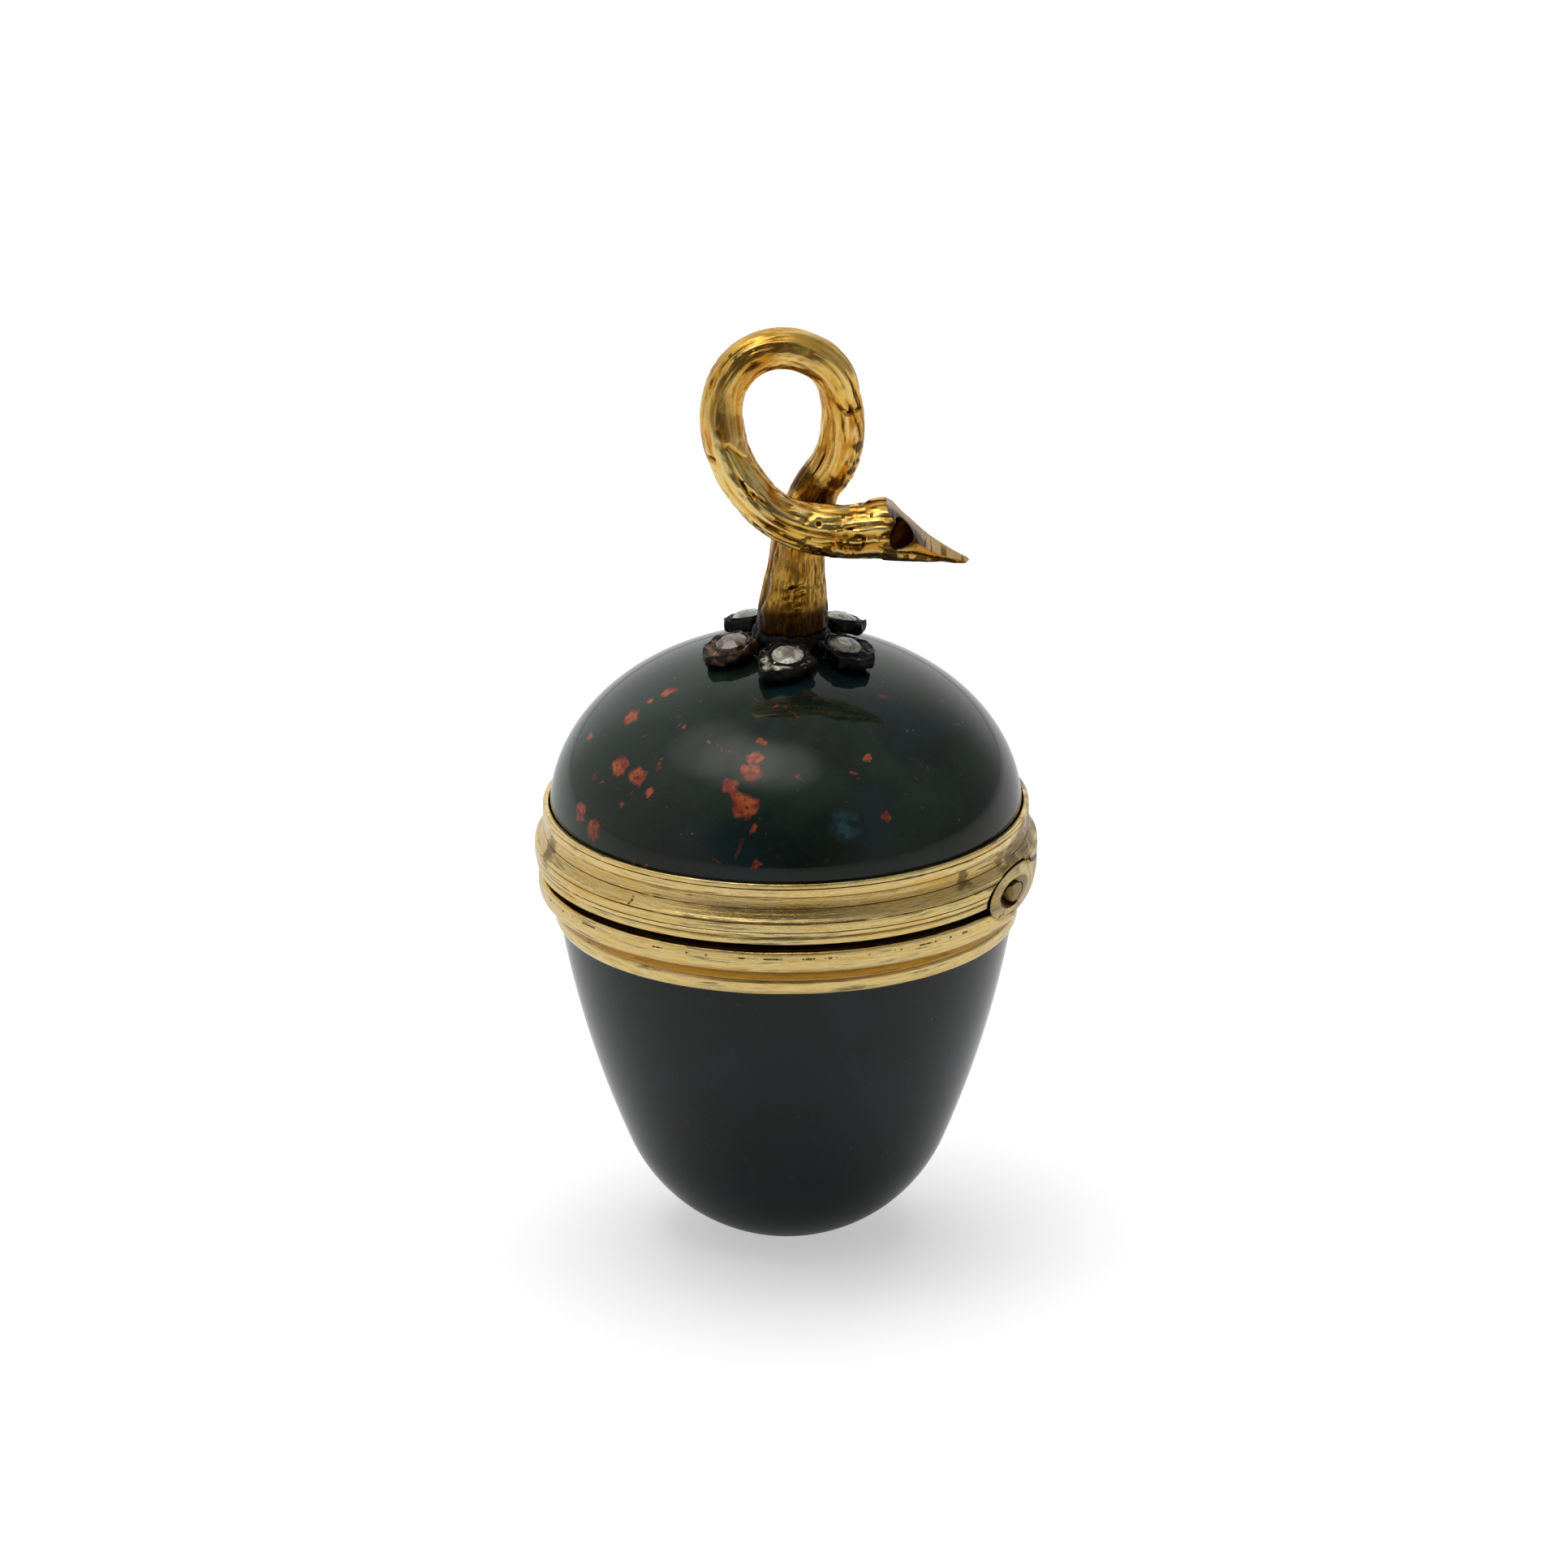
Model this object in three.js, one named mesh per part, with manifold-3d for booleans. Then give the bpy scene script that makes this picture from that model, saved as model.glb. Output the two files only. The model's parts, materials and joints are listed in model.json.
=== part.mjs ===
// An acorn vinaigrette: a hardstone cup and domed lid in gold mounts, hinged at the side, with a
// pierced grille over a sponge, a calyx of leaves set with rose-cut stones and a looped twig handle.
// Millimetres and degrees, +Z up, the origin at the centre of the foot. The hinge is on the +X side,
// and the open loop of the handle faces -Y.
import * as THREE from "three";
import { ConvexGeometry } from "three/addons/geometries/ConvexGeometry.js";
import { mergeVertices } from "three/addons/utils/BufferGeometryUtils.js";
import Module from "manifold-3d";

const wasm = await Module();
wasm.setup();

// Fits and facets
const seatGap = 0.05; // a stone or a plate in the gold that holds it
const slideGap = 0.1; // the lid's liner over the bezel
const pinGap = 0.05; // a hinge pin in its bore
const turnGap = 0.12; // a knuckle in the notch that it turns in
const endGap = 0.1; // between the ends of two knuckles
const sides = 48; // facets round every turned piece
const arcSteps = 2; // half the steps of an arc in a turned profile

// Cup: a round bottom with a small ground foot, and sides on one long arc
const footRadius = 2.6;
const cupBottomRadius = 9.15;
const cupLean = 23.3; // lean of the side where the bottom round ends
const cupSideRadius = 54;
const cupWall = 2;
const cupShoulderHeight = 17.3;
const cupShoulderWidth = 0.55;
const cupMouthDepth = 3.3; // straight part of the mouth, down from the rim

// Mouldings of the two mounts
const mountProjection = 1.35; // the widest bead beyond the cup's shoulder
const cupMountHeight = 2.75;
const cupLipHeight = 0.8;
const cupLipInset = 1.15; // insets are from the widest bead
const cupHollowHeight = 0.64;
const cupHollowInset = 0.72;
const cupBeadInset = 0.2;
const shutGap = 0.55; // open line between the mouldings of the shut box
const lidMountHeight = 3.2;
const lidFilletInset = 0.18;
const lidBeadHeight = 1.25;
const lidHollowInset = 0.55;
const lidLipHeight = 0.82;
const lidLipWall = 0.3;
const lidLipRound = 0.12;
const grooveDepth = 0.1;

// Lid: an ellipsoid dome
const domeOverhang = 0.55; // dome's radius beyond the cup's shoulder
const domeRise = 9.4;
const domeWall = 2.2;
const domeStep = 0.46; // rebate that the lid's mount fills
const domeSink = 0.45; // widest point of the dome below its mount's top

// Closing bezel and the lid's liner
const bezelWall = 0.45;
const bezelRise = 1.5; // above the cup's mount
const linerRise = 1.7; // of the liner's sleeve inside the dome
const linerDrop = 0.4; // of the liner below the lid's moulding

// Lid hinge: three knuckles of thick tube let into the mounts and filed to their curve
const knuckleRadius = 1.27;
const knuckleInset = 0.03; // barrel inside the widest bead
const hingeDrop = 0.05; // axis below the lid's moulding
const lidKnuckleLength = 6.2;
const hingePinRadius = 0.45;
const hingePinLength = 11.4;
const mouthRadius = 0.72; // countersunk ends of the tube
const mouthDepth = 1.5;
const barrelRound = 3.6; // crown of the filed barrel
const barrelInset = 0.04;
const swingRelief = 0.55; // cut below the barrel for the lid's swing

// Grille: a pierced plate in a frame, hinged inside the bezel
const seatWidth = 1.15;
const seatThickness = 0.6;
const seatDrop = 0.02; // seat's top below the cup mount's
const grilleClearance = 0.16;
const grilleOffset = 0.35; // grille's centre away from its hinge
const frameThickness = 0.55;
const frameWidth = 0.8;
const plateThickness = 0.3;
const plateLift = 0.1;
const grilleKnuckleRadius = 0.5;
const grilleKnuckleLength = 1.35;
const grilleMiddleLength = 1.5;
const grillePinRadius = 0.22;
const grilleFileGap = 0.08;
const petalCount = 6;
const pierceMargin = 1; // plate left outside the piercings
const plateEye = 0.088; // the piercings' sizes are shares of the circle that they fill
const petalFrom = 0.16;
const petalTo = 0.49;
const petalHalfWidth = 0.115;
const pierceFrom = 0.59;
const pierceHalfWidth = 0.135;
const beadHole = 0.048;
const tabWidth = 1.7;
const tabHeight = 0.5;
const tabThickness = 0.35;

// Sponge
const spongeGap = 0.3;
const spongeHeadroom = 0.9;
const spongeRound = 1.2;

// Calyx and its stones
const finialX = 0.3; // handle and calyx stand a little towards the hinge
const collarRadius = 2.1;
const collarHeight = 0.9;
const leafBearings = [-3, 54, 122, 180, 232, 304]; // from the front, leaves set by hand
const leafLength = 2.85;
const leafWidth = 2.9;
const leafThickness = 0.62;
const leafTilt = 13;
const stoneRadius = 0.88;
const stoneHeight = 0.5;
const stoneAt = 3.6; // stones' distance from the axis
const colletWall = 0.22;
const colletHeight = 0.2;

// Handle's shank and what holds it inside the dome
const shankRadius = 0.75;
const shankOverrun = 0.3;
const washerRadius = 2.5;
const washerThickness = 0.45;
const washerLobes = 8;
const nutWidth = 2.6;
const nutThickness = 0.95;

// Handle: a twig that rises, turns back over itself and crosses in front to a cut end.
// Each row is x, y, the height above the calyx and the twig's radius there.
const twigPath = [
  [0, 0, -0.6, 1.9],
  [0.02, 0, 0.3, 1.84],
  [0.14, 0, 1.7, 1.7],
  [0.28, 0.02, 3.3, 1.5],
  [0.5, 0.1, 5.1, 1.38],
  [1.3, 0.16, 7.4, 1.22],
  [2.4, 0.1, 9.3, 1.16],
  [2.88, -0.02, 11, 1.12],
  [2.78, -0.2, 12.8, 1.04],
  [2, -0.4, 14.6, 1.06],
  [0.8, -0.55, 15.5, 1.08],
  [-0.43, -0.7, 15.8, 1.08],
  [-1.8, -0.88, 15.52, 1.1],
  [-2.96, -1.08, 14.55, 1.12],
  [-3.54, -1.3, 13.15, 1.12],
  [-3.58, -1.55, 11.65, 1.18],
  [-3.18, -1.82, 10.05, 1.15],
  [-2.24, -2.12, 8.45, 1.18],
  [-0.95, -2.4, 7.2, 1.21],
  [0.56, -2.52, 6.5, 1.28],
  [2.1, -2.55, 6.2, 1.36],
  [3.75, -2.55, 6.15, 1.44],
  [5.1, -2.55, 6.2, 1.6],
  [5.85, -2.55, 6.1, 1.64],
  [6.85, -2.55, 5.72, 1.34],
  [8.1, -2.55, 5.1, 0.8],
  [9.35, -2.55, 4.6, 0.3],
];
const twigSteps = 54;
const twigRidges = 7; // bark ridges round the twig
const ridgeDepth = 0.035; // share of the radius
const scoopRadius = 5.1; // of the slanting cut at the twig's end
const scoopStart = 5.65; // x where the cut begins
const scoopLead = 4.61; // from there to the cut's centre, along and up
const scoopRise = 2.13;

// Worked out from the sizes above
const rad = THREE.MathUtils.degToRad;
const lean = rad(cupLean);
const bottomCentre = Math.sqrt(cupBottomRadius ** 2 - footRadius ** 2);
const sideCentreR = (cupBottomRadius - cupSideRadius) * Math.cos(lean);
const sideCentreZ = bottomCentre - (cupBottomRadius - cupSideRadius) * Math.sin(lean);
const sideR = (z, inset = 0) =>
  sideCentreR + Math.sqrt((cupSideRadius - inset) ** 2 - (sideCentreZ - z) ** 2);
const shoulderR = sideR(cupShoulderHeight);
const cupNeckR = shoulderR - cupShoulderWidth;
const mountR = shoulderR + mountProjection;
const cupMountBottom = cupShoulderHeight + seatGap;
const cupMountTop = cupMountBottom + cupMountHeight;
const lidMountBottom = cupMountTop + shutGap;
const lidMountTop = lidMountBottom + lidMountHeight;
const hingeX = mountR - knuckleRadius - knuckleInset;
const hingeZ = lidMountBottom - hingeDrop;
const notchRadius = knuckleRadius + turnGap;
const cupNeckTop = hingeZ - notchRadius - seatGap;
const cupMouthBottom = cupNeckTop - cupMouthDepth;
const cupMouthR = sideR(cupMouthBottom, cupWall);
const bezelR = cupMouthR - seatGap;
const bezelInner = bezelR - bezelWall;
const bezelTop = cupMountTop + bezelRise;
const linerInner = bezelR + slideGap;
const domeR = shoulderR + domeOverhang;
const domeNeckR = domeR - domeStep;
const domeEquator = lidMountTop - domeSink;
const domeNeckBottom = hingeZ + notchRadius + seatGap;
const domeInnerR = domeR - domeWall;
const domeInnerRise = domeRise - domeWall;
const domeTop = domeEquator + domeRise;
const calyxTop = domeTop + seatGap + collarHeight;
const seatTop = cupMountTop - seatDrop;
const grilleBottom = seatTop + seatGap;
const grilleR = bezelInner - grilleClearance - grilleOffset;
const grilleHalfHinge = grilleMiddleLength / 2 + endGap + grilleKnuckleLength;
const grilleHingeX =
  Math.sqrt(bezelInner ** 2 - grilleHalfHinge ** 2) - grilleKnuckleRadius - seatGap;
const grilleHingeZ = grilleBottom + grilleKnuckleRadius;
const grilleCutX = grilleHingeX - grilleKnuckleRadius - grilleFileGap;

// Finishes
const finish = (color, roughness, metalness) =>
  new THREE.MeshStandardMaterial({ color, roughness, metalness });
const bloodstone = finish(0x1c2a28, 0.12, 0);
const gold = finish(0xc9a04c, 0.28, 1);
const silver = finish(0x5a5754, 0.4, 1);
const roseStone = finish(0xd9d4c8, 0.08, 0);
const spongeFoam = finish(0xb59a5e, 0.95, 0);

// Boolean helpers: geometry to solid, solid to geometry
function solidOf(geometry) {
  const bare = new THREE.BufferGeometry();
  const source = geometry.index ? geometry.toNonIndexed() : geometry;
  bare.setAttribute("position", source.getAttribute("position").clone());
  const merged = mergeVertices(bare, 1e-4);
  const corners = merged.index.array;
  const triangles = [];
  for (let i = 0; i < corners.length; i += 3) {
    const [a, b, c] = corners.slice(i, i + 3);
    if (a !== b && b !== c && c !== a) triangles.push(a, b, c);
  }
  return new wasm.Manifold(
    new wasm.Mesh({
      numProp: 3,
      vertProperties: new Float32Array(merged.attributes.position.array),
      triVerts: new Uint32Array(triangles),
    }),
  );
}

function geometryOf(solid) {
  const { vertProperties, triVerts } = solid.getMesh();
  const geometry = new THREE.BufferGeometry();
  geometry.setAttribute("position", new THREE.BufferAttribute(vertProperties, 3));
  geometry.setIndex(new THREE.BufferAttribute(triVerts, 1));
  return geometry;
}

const cut = (geometry, ...tools) =>
  geometryOf(tools.reduce((rest, tool) => rest.subtract(solidOf(tool)), solidOf(geometry)));
const join = (geometry, ...more) =>
  geometryOf(more.reduce((whole, piece) => whole.add(solidOf(piece)), solidOf(geometry)));
const common = (geometry, other) => geometryOf(solidOf(geometry).intersect(solidOf(other)));

// A piece turned about Z from a path in (radius, height), drawn with its solid on the left
function turned(path, steps = arcSteps, facets = sides) {
  return new THREE.LatheGeometry(path.getPoints(steps), facets).rotateX(Math.PI / 2);
}

function tube(inner, outer, low, high) {
  const path = new THREE.Path().moveTo(inner, low);
  path.lineTo(outer, low).lineTo(outer, high).lineTo(inner, high).lineTo(inner, low);
  return turned(path);
}

// A round bar along Y, from one y to another
function bar(radius, x, z, from, to, facets = 24) {
  const low = Math.min(from, to);
  const high = Math.max(from, to);
  const geometry = new THREE.CylinderGeometry(radius, radius, high - low, facets);
  return geometry.translate(x, (low + high) / 2, z);
}

function block(low, high) {
  const size = high.map((value, axis) => value - low[axis]);
  const middle = high.map((value, axis) => (value + low[axis]) / 2);
  return new THREE.BoxGeometry(...size).translate(...middle);
}

const slab = (shape, bottom, thickness) =>
  new THREE.ExtrudeGeometry(shape, { depth: thickness, bevelEnabled: false }).translate(0, 0, bottom);

// Cup
function cupGeometry() {
  const footAngle = Math.acos(footRadius / cupBottomRadius);
  const shoulderAngle = Math.asin((cupShoulderHeight - sideCentreZ) / cupSideRadius);
  const innerSide = cupSideRadius - cupWall;
  const mouthAngle = Math.asin((cupMouthBottom - sideCentreZ) / innerSide);
  const path = new THREE.Path().moveTo(0, 0);
  path.lineTo(footRadius, 0);
  path.absarc(0, bottomCentre, cupBottomRadius, -footAngle, -lean);
  path.absarc(sideCentreR, sideCentreZ, cupSideRadius, -lean, shoulderAngle);
  path.lineTo(cupNeckR, cupShoulderHeight);
  path.lineTo(cupNeckR, cupNeckTop);
  path.lineTo(cupMouthR, cupNeckTop);
  path.absarc(sideCentreR, sideCentreZ, innerSide, mouthAngle, -lean, true);
  path.absarc(0, bottomCentre, cupBottomRadius - cupWall, -lean, -Math.PI / 2, true);
  return turned(path);
}

// The sponge fills the cup below the grille's seat
function spongeGeometry() {
  const inset = cupWall + spongeGap;
  const top = seatTop - seatThickness - spongeHeadroom;
  const shoulder = cupMouthBottom - spongeGap;
  const radius = Math.min(sideR(shoulder, inset), bezelInner - spongeGap);
  const shoulderAngle = Math.asin((shoulder - sideCentreZ) / (cupSideRadius - inset));
  const path = new THREE.Path().moveTo(0, bottomCentre - cupBottomRadius + inset);
  path.absarc(0, bottomCentre, cupBottomRadius - inset, -Math.PI / 2, -lean);
  path.absarc(sideCentreR, sideCentreZ, cupSideRadius - inset, -lean, shoulderAngle);
  path.lineTo(radius - spongeGap, top - spongeRound);
  path.quadraticCurveTo(radius - spongeGap, top, radius - spongeGap - spongeRound, top);
  path.lineTo(0, top);
  return turned(path, 2, sides / 2);
}

// Zones along the hinge, and the notches that clear the knuckles
const lidZone = lidKnuckleLength / 2;
const hingeEnd = Math.sqrt(mountR ** 2 - (hingeX - notchRadius - swingRelief) ** 2) + 1;

function hingeNotches(radiusAtLid, radiusAtCup) {
  const split = lidZone + endGap / 2;
  return [
    bar(radiusAtLid, hingeX, hingeZ, -split, split),
    bar(radiusAtCup, hingeX, hingeZ, split, hingeEnd),
    bar(radiusAtCup, hingeX, hingeZ, -hingeEnd, -split),
  ];
}

// Cup mount: lip, hollow and bead outside, and a flange in over the stone's rim
function cupMountGeometry() {
  const inner = cupNeckR + seatGap;
  const lip = mountR - cupLipInset;
  const bead = mountR - cupBeadInset;
  const lipTop = cupMountBottom + cupLipHeight;
  const hollowTop = lipTop + cupHollowHeight;
  const hollow = mountR - cupHollowInset;
  const beadMiddle = (hollowTop + cupMountTop) / 2 + grooveDepth;
  const flangeInner = bezelR + seatGap;
  const path = new THREE.Path().moveTo(inner, cupMountBottom);
  path.lineTo(lip, cupMountBottom);
  path.lineTo(lip + grooveDepth, lipTop - grooveDepth);
  path.lineTo(lip, lipTop);
  path.quadraticCurveTo(lip + grooveDepth, hollowTop, hollow, hollowTop);
  path.quadraticCurveTo(bead, hollowTop, bead, beadMiddle);
  path.quadraticCurveTo(bead, cupMountTop, bead - grooveDepth * 2, cupMountTop);
  path.lineTo(flangeInner, cupMountTop);
  path.lineTo(flangeInner, cupNeckTop + seatGap);
  path.lineTo(inner, cupNeckTop + seatGap);
  path.lineTo(inner, cupMountBottom);
  const relief = common(
    bar(notchRadius + swingRelief, hingeX, hingeZ, -hingeEnd, hingeEnd),
    block([hingeX, -hingeEnd, 0], [hingeX + mountR, hingeEnd, hingeZ * 2]),
  );
  return cut(
    turned(path),
    ...hingeNotches(notchRadius, knuckleRadius + seatGap),
    relief,
  );
}

// Bezel: the collar that the lid shuts over, run down inside the stone's mouth
const bezelGeometry = () => tube(bezelInner, bezelR, cupMouthBottom + seatGap, bezelTop);

// Dome, with a hole for the handle's shank
function domeGeometry() {
  const path = new THREE.Path().moveTo(domeInnerR, domeNeckBottom);
  path.lineTo(domeNeckR, domeNeckBottom);
  path.lineTo(domeNeckR, domeEquator);
  path.lineTo(domeR, domeEquator);
  path.absellipse(0, domeEquator, domeR, domeRise, 0, Math.PI / 2, false, 0);
  path.lineTo(0, domeEquator + domeInnerRise);
  path.absellipse(0, domeEquator, domeInnerR, domeInnerRise, Math.PI / 2, 0, true, 0);
  path.lineTo(domeInnerR, domeNeckBottom);
  const hole = new THREE.CylinderGeometry(shankRadius + seatGap, shankRadius + seatGap, domeRise, 16);
  hole.rotateX(Math.PI / 2).translate(finialX, 0, domeTop);
  return cut(turned(path, 3), hole);
}

// Lid mount: fillet, bead, hollow, groove and lip
function lidMountGeometry() {
  const inner = domeNeckR + seatGap;
  const lipInner = domeR + seatGap;
  const lip = lipInner + lidLipWall;
  const ledge = domeEquator - seatGap;
  const fillet = mountR - lidFilletInset;
  const beadTop = lidMountBottom + lidBeadHeight;
  const beadMiddle = (lidMountBottom + beadTop) / 2;
  const lipBottom = lidMountTop - lidLipHeight;
  const path = new THREE.Path().moveTo(inner, lidMountBottom);
  path.lineTo(fillet, lidMountBottom);
  path.quadraticCurveTo(mountR, lidMountBottom + grooveDepth, mountR, beadMiddle);
  path.quadraticCurveTo(mountR, beadTop, mountR - grooveDepth, beadTop);
  path.lineTo(mountR - grooveDepth * 2, beadTop + grooveDepth / 2);
  path.quadraticCurveTo(
    mountR - lidHollowInset, (beadTop + lipBottom) / 2, mountR - lidHollowInset, lipBottom - grooveDepth,
  );
  path.lineTo(lip - grooveDepth, lipBottom);
  path.lineTo(lip, lipBottom + grooveDepth);
  path.lineTo(lip, lidMountTop - lidLipRound);
  path.quadraticCurveTo(lip, lidMountTop, lip - lidLipRound, lidMountTop);
  path.lineTo(lipInner, lidMountTop);
  path.lineTo(lipInner, ledge);
  path.lineTo(inner, ledge);
  path.lineTo(inner, lidMountBottom);
  return cut(turned(path), ...hingeNotches(knuckleRadius + seatGap, notchRadius));
}

// Liner: the ring under the dome's rim, with a sleeve up inside it
function linerGeometry() {
  const flangeBottom = lidMountBottom - linerDrop;
  const flangeTop = domeNeckBottom - seatGap;
  const sleeve = domeInnerR - seatGap;
  const path = new THREE.Path().moveTo(linerInner, flangeBottom);
  path.lineTo(domeNeckR, flangeBottom);
  path.lineTo(domeNeckR, flangeTop);
  path.lineTo(sleeve, flangeTop);
  path.lineTo(sleeve, flangeTop + linerRise);
  path.lineTo(linerInner, flangeTop + linerRise);
  path.lineTo(linerInner, flangeBottom);
  return cut(turned(path), ...hingeNotches(knuckleRadius + seatGap, notchRadius));
}

// The barrel's crowned outer form, which the mounts' curve files across the tubes
function barrelEnvelope() {
  const centre = mountR - barrelInset - barrelRound;
  const half = knuckleRadius + turnGap;
  const angle = Math.asin(half / barrelRound);
  const path = new THREE.Path().moveTo(0, hingeZ - half);
  path.lineTo(centre, hingeZ - half);
  path.absarc(centre, hingeZ, barrelRound, -angle, angle);
  path.lineTo(0, hingeZ + half);
  return turned(path, 4, sides * 2);
}

function knuckleGeometry(from, to) {
  const barrel = common(bar(knuckleRadius, hingeX, hingeZ, from, to), barrelEnvelope());
  return cut(barrel, bar(hingePinRadius + pinGap, hingeX, hingeZ, -hingeEnd, hingeEnd, 16));
}

// An outer knuckle: its tube's mouth is countersunk round the pin's end
function outerKnuckleGeometry(side) {
  const start = lidZone + endGap;
  const mouthFrom = hingePinLength / 2 + seatGap - mouthDepth / 2;
  const geometry = knuckleGeometry(side * start, side * hingeEnd);
  return cut(geometry, bar(mouthRadius, hingeX, hingeZ, side * mouthFrom, side * (hingeEnd + 1), 16));
}

// The pin's ends are filed with the tubes
function hingePinGeometry() {
  const half = hingePinLength / 2;
  return common(bar(hingePinRadius, hingeX, hingeZ, -half, half, 16), barrelEnvelope());
}

// Grille seat: a ledge round the inside of the bezel, widened into a land for the grille's hinge
function grilleSeatGeometry() {
  const outer = bezelInner - seatGap;
  const bottom = seatTop - seatThickness;
  const ring = tube(outer - seatWidth, outer, bottom, seatTop);
  const disc = tube(0, outer, bottom, seatTop);
  const land = block([grilleCutX - frameWidth, -outer, bottom], [outer, outer, seatTop]);
  return join(ring, common(disc, land));
}

// The grille's outline: a circle cut straight on the hinge side, drawn inset from the frame's edge
function grilleOutline(inset) {
  const radius = grilleR - inset;
  const reach = Math.acos((grilleCutX - inset + grilleOffset) / radius);
  return new THREE.Shape().absarc(-grilleOffset, 0, radius, reach, 2 * Math.PI - reach).getPoints(sides / 2);
}

function grilleFrameGeometry() {
  const shape = new THREE.Shape(grilleOutline(0));
  shape.holes.push(new THREE.Path(grilleOutline(frameWidth)));
  return slab(shape, grilleBottom, frameThickness);
}

// A tear-shaped piercing, pointed at its inner end
function tear(from, to, halfWidth, bearing, steps = 8) {
  const points = [];
  for (let i = 0; i < steps; i++) {
    const turn = (2 * Math.PI * i) / steps;
    const along = (from + to) / 2 - (Math.cos(turn) * (to - from)) / 2;
    const across = halfWidth * Math.sin(turn) * Math.sin(turn / 2) ** 1.2 * Math.sign(Math.PI - turn + 1e-9) ** 2;
    points.push(new THREE.Vector2(along, across).rotateAround(new THREE.Vector2(), bearing));
  }
  return points;
}

function grillePlateGeometry() {
  const shape = new THREE.Shape(grilleOutline(frameWidth + seatGap));
  const pierce = (points) => {
    const moved = points.map((point) => point.clone().setX(point.x - grilleOffset));
    shape.holes.push(new THREE.Path(moved));
  };
  const round = (distance, radius, bearing) => {
    const centre = new THREE.Vector2(distance, 0).rotateAround(new THREE.Vector2(), bearing);
    const circle = new THREE.Path().absarc(centre.x, centre.y, radius, 0, 2 * Math.PI);
    pierce(circle.getPoints(3).slice(1));
  };
  const reach = grilleCutX - frameWidth - seatGap + grilleOffset - pierceMargin;
  round(0, plateEye * reach, 0);
  for (let i = 0; i < petalCount; i++) {
    const bearing = (2 * Math.PI * i) / petalCount;
    pierce(tear(petalFrom * reach, petalTo * reach, petalHalfWidth * reach, bearing));
    round(petalTo * reach, beadHole * reach, bearing + Math.PI / petalCount);
  }
  for (let i = 0; i < 2 * petalCount; i++) {
    const bearing = (Math.PI * (i + 0.5)) / petalCount;
    pierce(tear(pierceFrom * reach, reach, pierceHalfWidth * reach, bearing));
    round(reach, beadHole * reach, bearing + Math.PI / petalCount / 2);
  }
  return slab(shape, grilleBottom + plateLift, plateThickness);
}

function grilleKnuckle(from, to) {
  const outer = bar(grilleKnuckleRadius, grilleHingeX, grilleHingeZ, from, to, 16);
  return cut(outer, bar(grillePinRadius + pinGap, grilleHingeX, grilleHingeZ, from - 1, to + 1, 12));
}

// A finger tab that stands on the frame opposite its hinge
function grilleTabGeometry() {
  const shape = new THREE.Shape().moveTo(-tabWidth / 2, 0);
  shape.lineTo(tabWidth / 2, 0);
  shape.quadraticCurveTo(tabWidth / 2, tabHeight, 0, tabHeight);
  shape.quadraticCurveTo(-tabWidth / 2, tabHeight, -tabWidth / 2, 0);
  const geometry = new THREE.ExtrudeGeometry(shape, {
    depth: tabThickness, bevelEnabled: false, curveSegments: 4,
  });
  const x = -grilleOffset - grilleR + frameWidth / 2 - tabThickness / 2;
  geometry.rotateX(Math.PI / 2).rotateZ(Math.PI / 2);
  return geometry.translate(x, 0, grilleBottom + frameThickness + seatGap);
}

// Calyx: a collar round the handle's foot
function collarGeometry() {
  const bottom = domeTop + seatGap;
  const path = new THREE.Path().moveTo(shankRadius + seatGap, bottom);
  path.lineTo(collarRadius, bottom);
  path.quadraticCurveTo(collarRadius, calyxTop, collarRadius - collarHeight / 2, calyxTop);
  path.lineTo(shankRadius + seatGap, calyxTop);
  path.lineTo(shankRadius + seatGap, bottom);
  return turned(path, 2, sides / 2);
}

// A leaf with a raised collet for its stone, drawn flat and pointing along +X from its inner end
function leafGeometry() {
  const half = leafWidth / 2;
  const shape = new THREE.Shape().moveTo(0, half * 0.48);
  shape.lineTo(0, -half * 0.48);
  shape.quadraticCurveTo(leafLength * 0.35, -half * 0.8, leafLength * 0.56, -half);
  shape.quadraticCurveTo(leafLength * 0.92, -half * 0.75, leafLength, 0);
  shape.quadraticCurveTo(leafLength * 0.92, half * 0.75, leafLength * 0.56, half);
  shape.quadraticCurveTo(leafLength * 0.35, half * 0.8, 0, half * 0.48);
  const blade = new THREE.ExtrudeGeometry(shape, {
    depth: leafThickness, bevelEnabled: false, curveSegments: 3,
  });
  const collet = new THREE.LatheGeometry(
    [
      new THREE.Vector2(stoneRadius + seatGap, leafThickness - seatGap),
      new THREE.Vector2(stoneRadius + seatGap + colletWall, leafThickness - seatGap),
      new THREE.Vector2(stoneRadius + seatGap + colletWall / 2, leafThickness + colletHeight),
      new THREE.Vector2(stoneRadius + seatGap, leafThickness + colletHeight),
      new THREE.Vector2(stoneRadius + seatGap, leafThickness - seatGap),
    ],
    12,
  );
  collet.rotateX(Math.PI / 2).translate(stoneAt - leafStart, 0, 0);
  return join(blade, collet);
}

// A rose-cut stone: a flat base, a ring of twelve and a crown of six round a point
function roseStoneGeometry() {
  const points = [new THREE.Vector3(0, 0, stoneHeight)];
  for (let i = 0; i < 12; i++) {
    const angle = (Math.PI * i) / 6;
    const girdle = stoneRadius;
    points.push(new THREE.Vector3(girdle * Math.cos(angle), girdle * Math.sin(angle), 0));
    points.push(new THREE.Vector3(girdle * Math.cos(angle), girdle * Math.sin(angle), stoneHeight * 0.2));
    if (i % 2) continue;
    const crown = stoneRadius * 0.58;
    points.push(new THREE.Vector3(crown * Math.cos(angle), crown * Math.sin(angle), stoneHeight * 0.74));
  }
  return new ConvexGeometry(points).translate(stoneAt - leafStart, 0, leafThickness + seatGap / 2);
}

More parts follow.
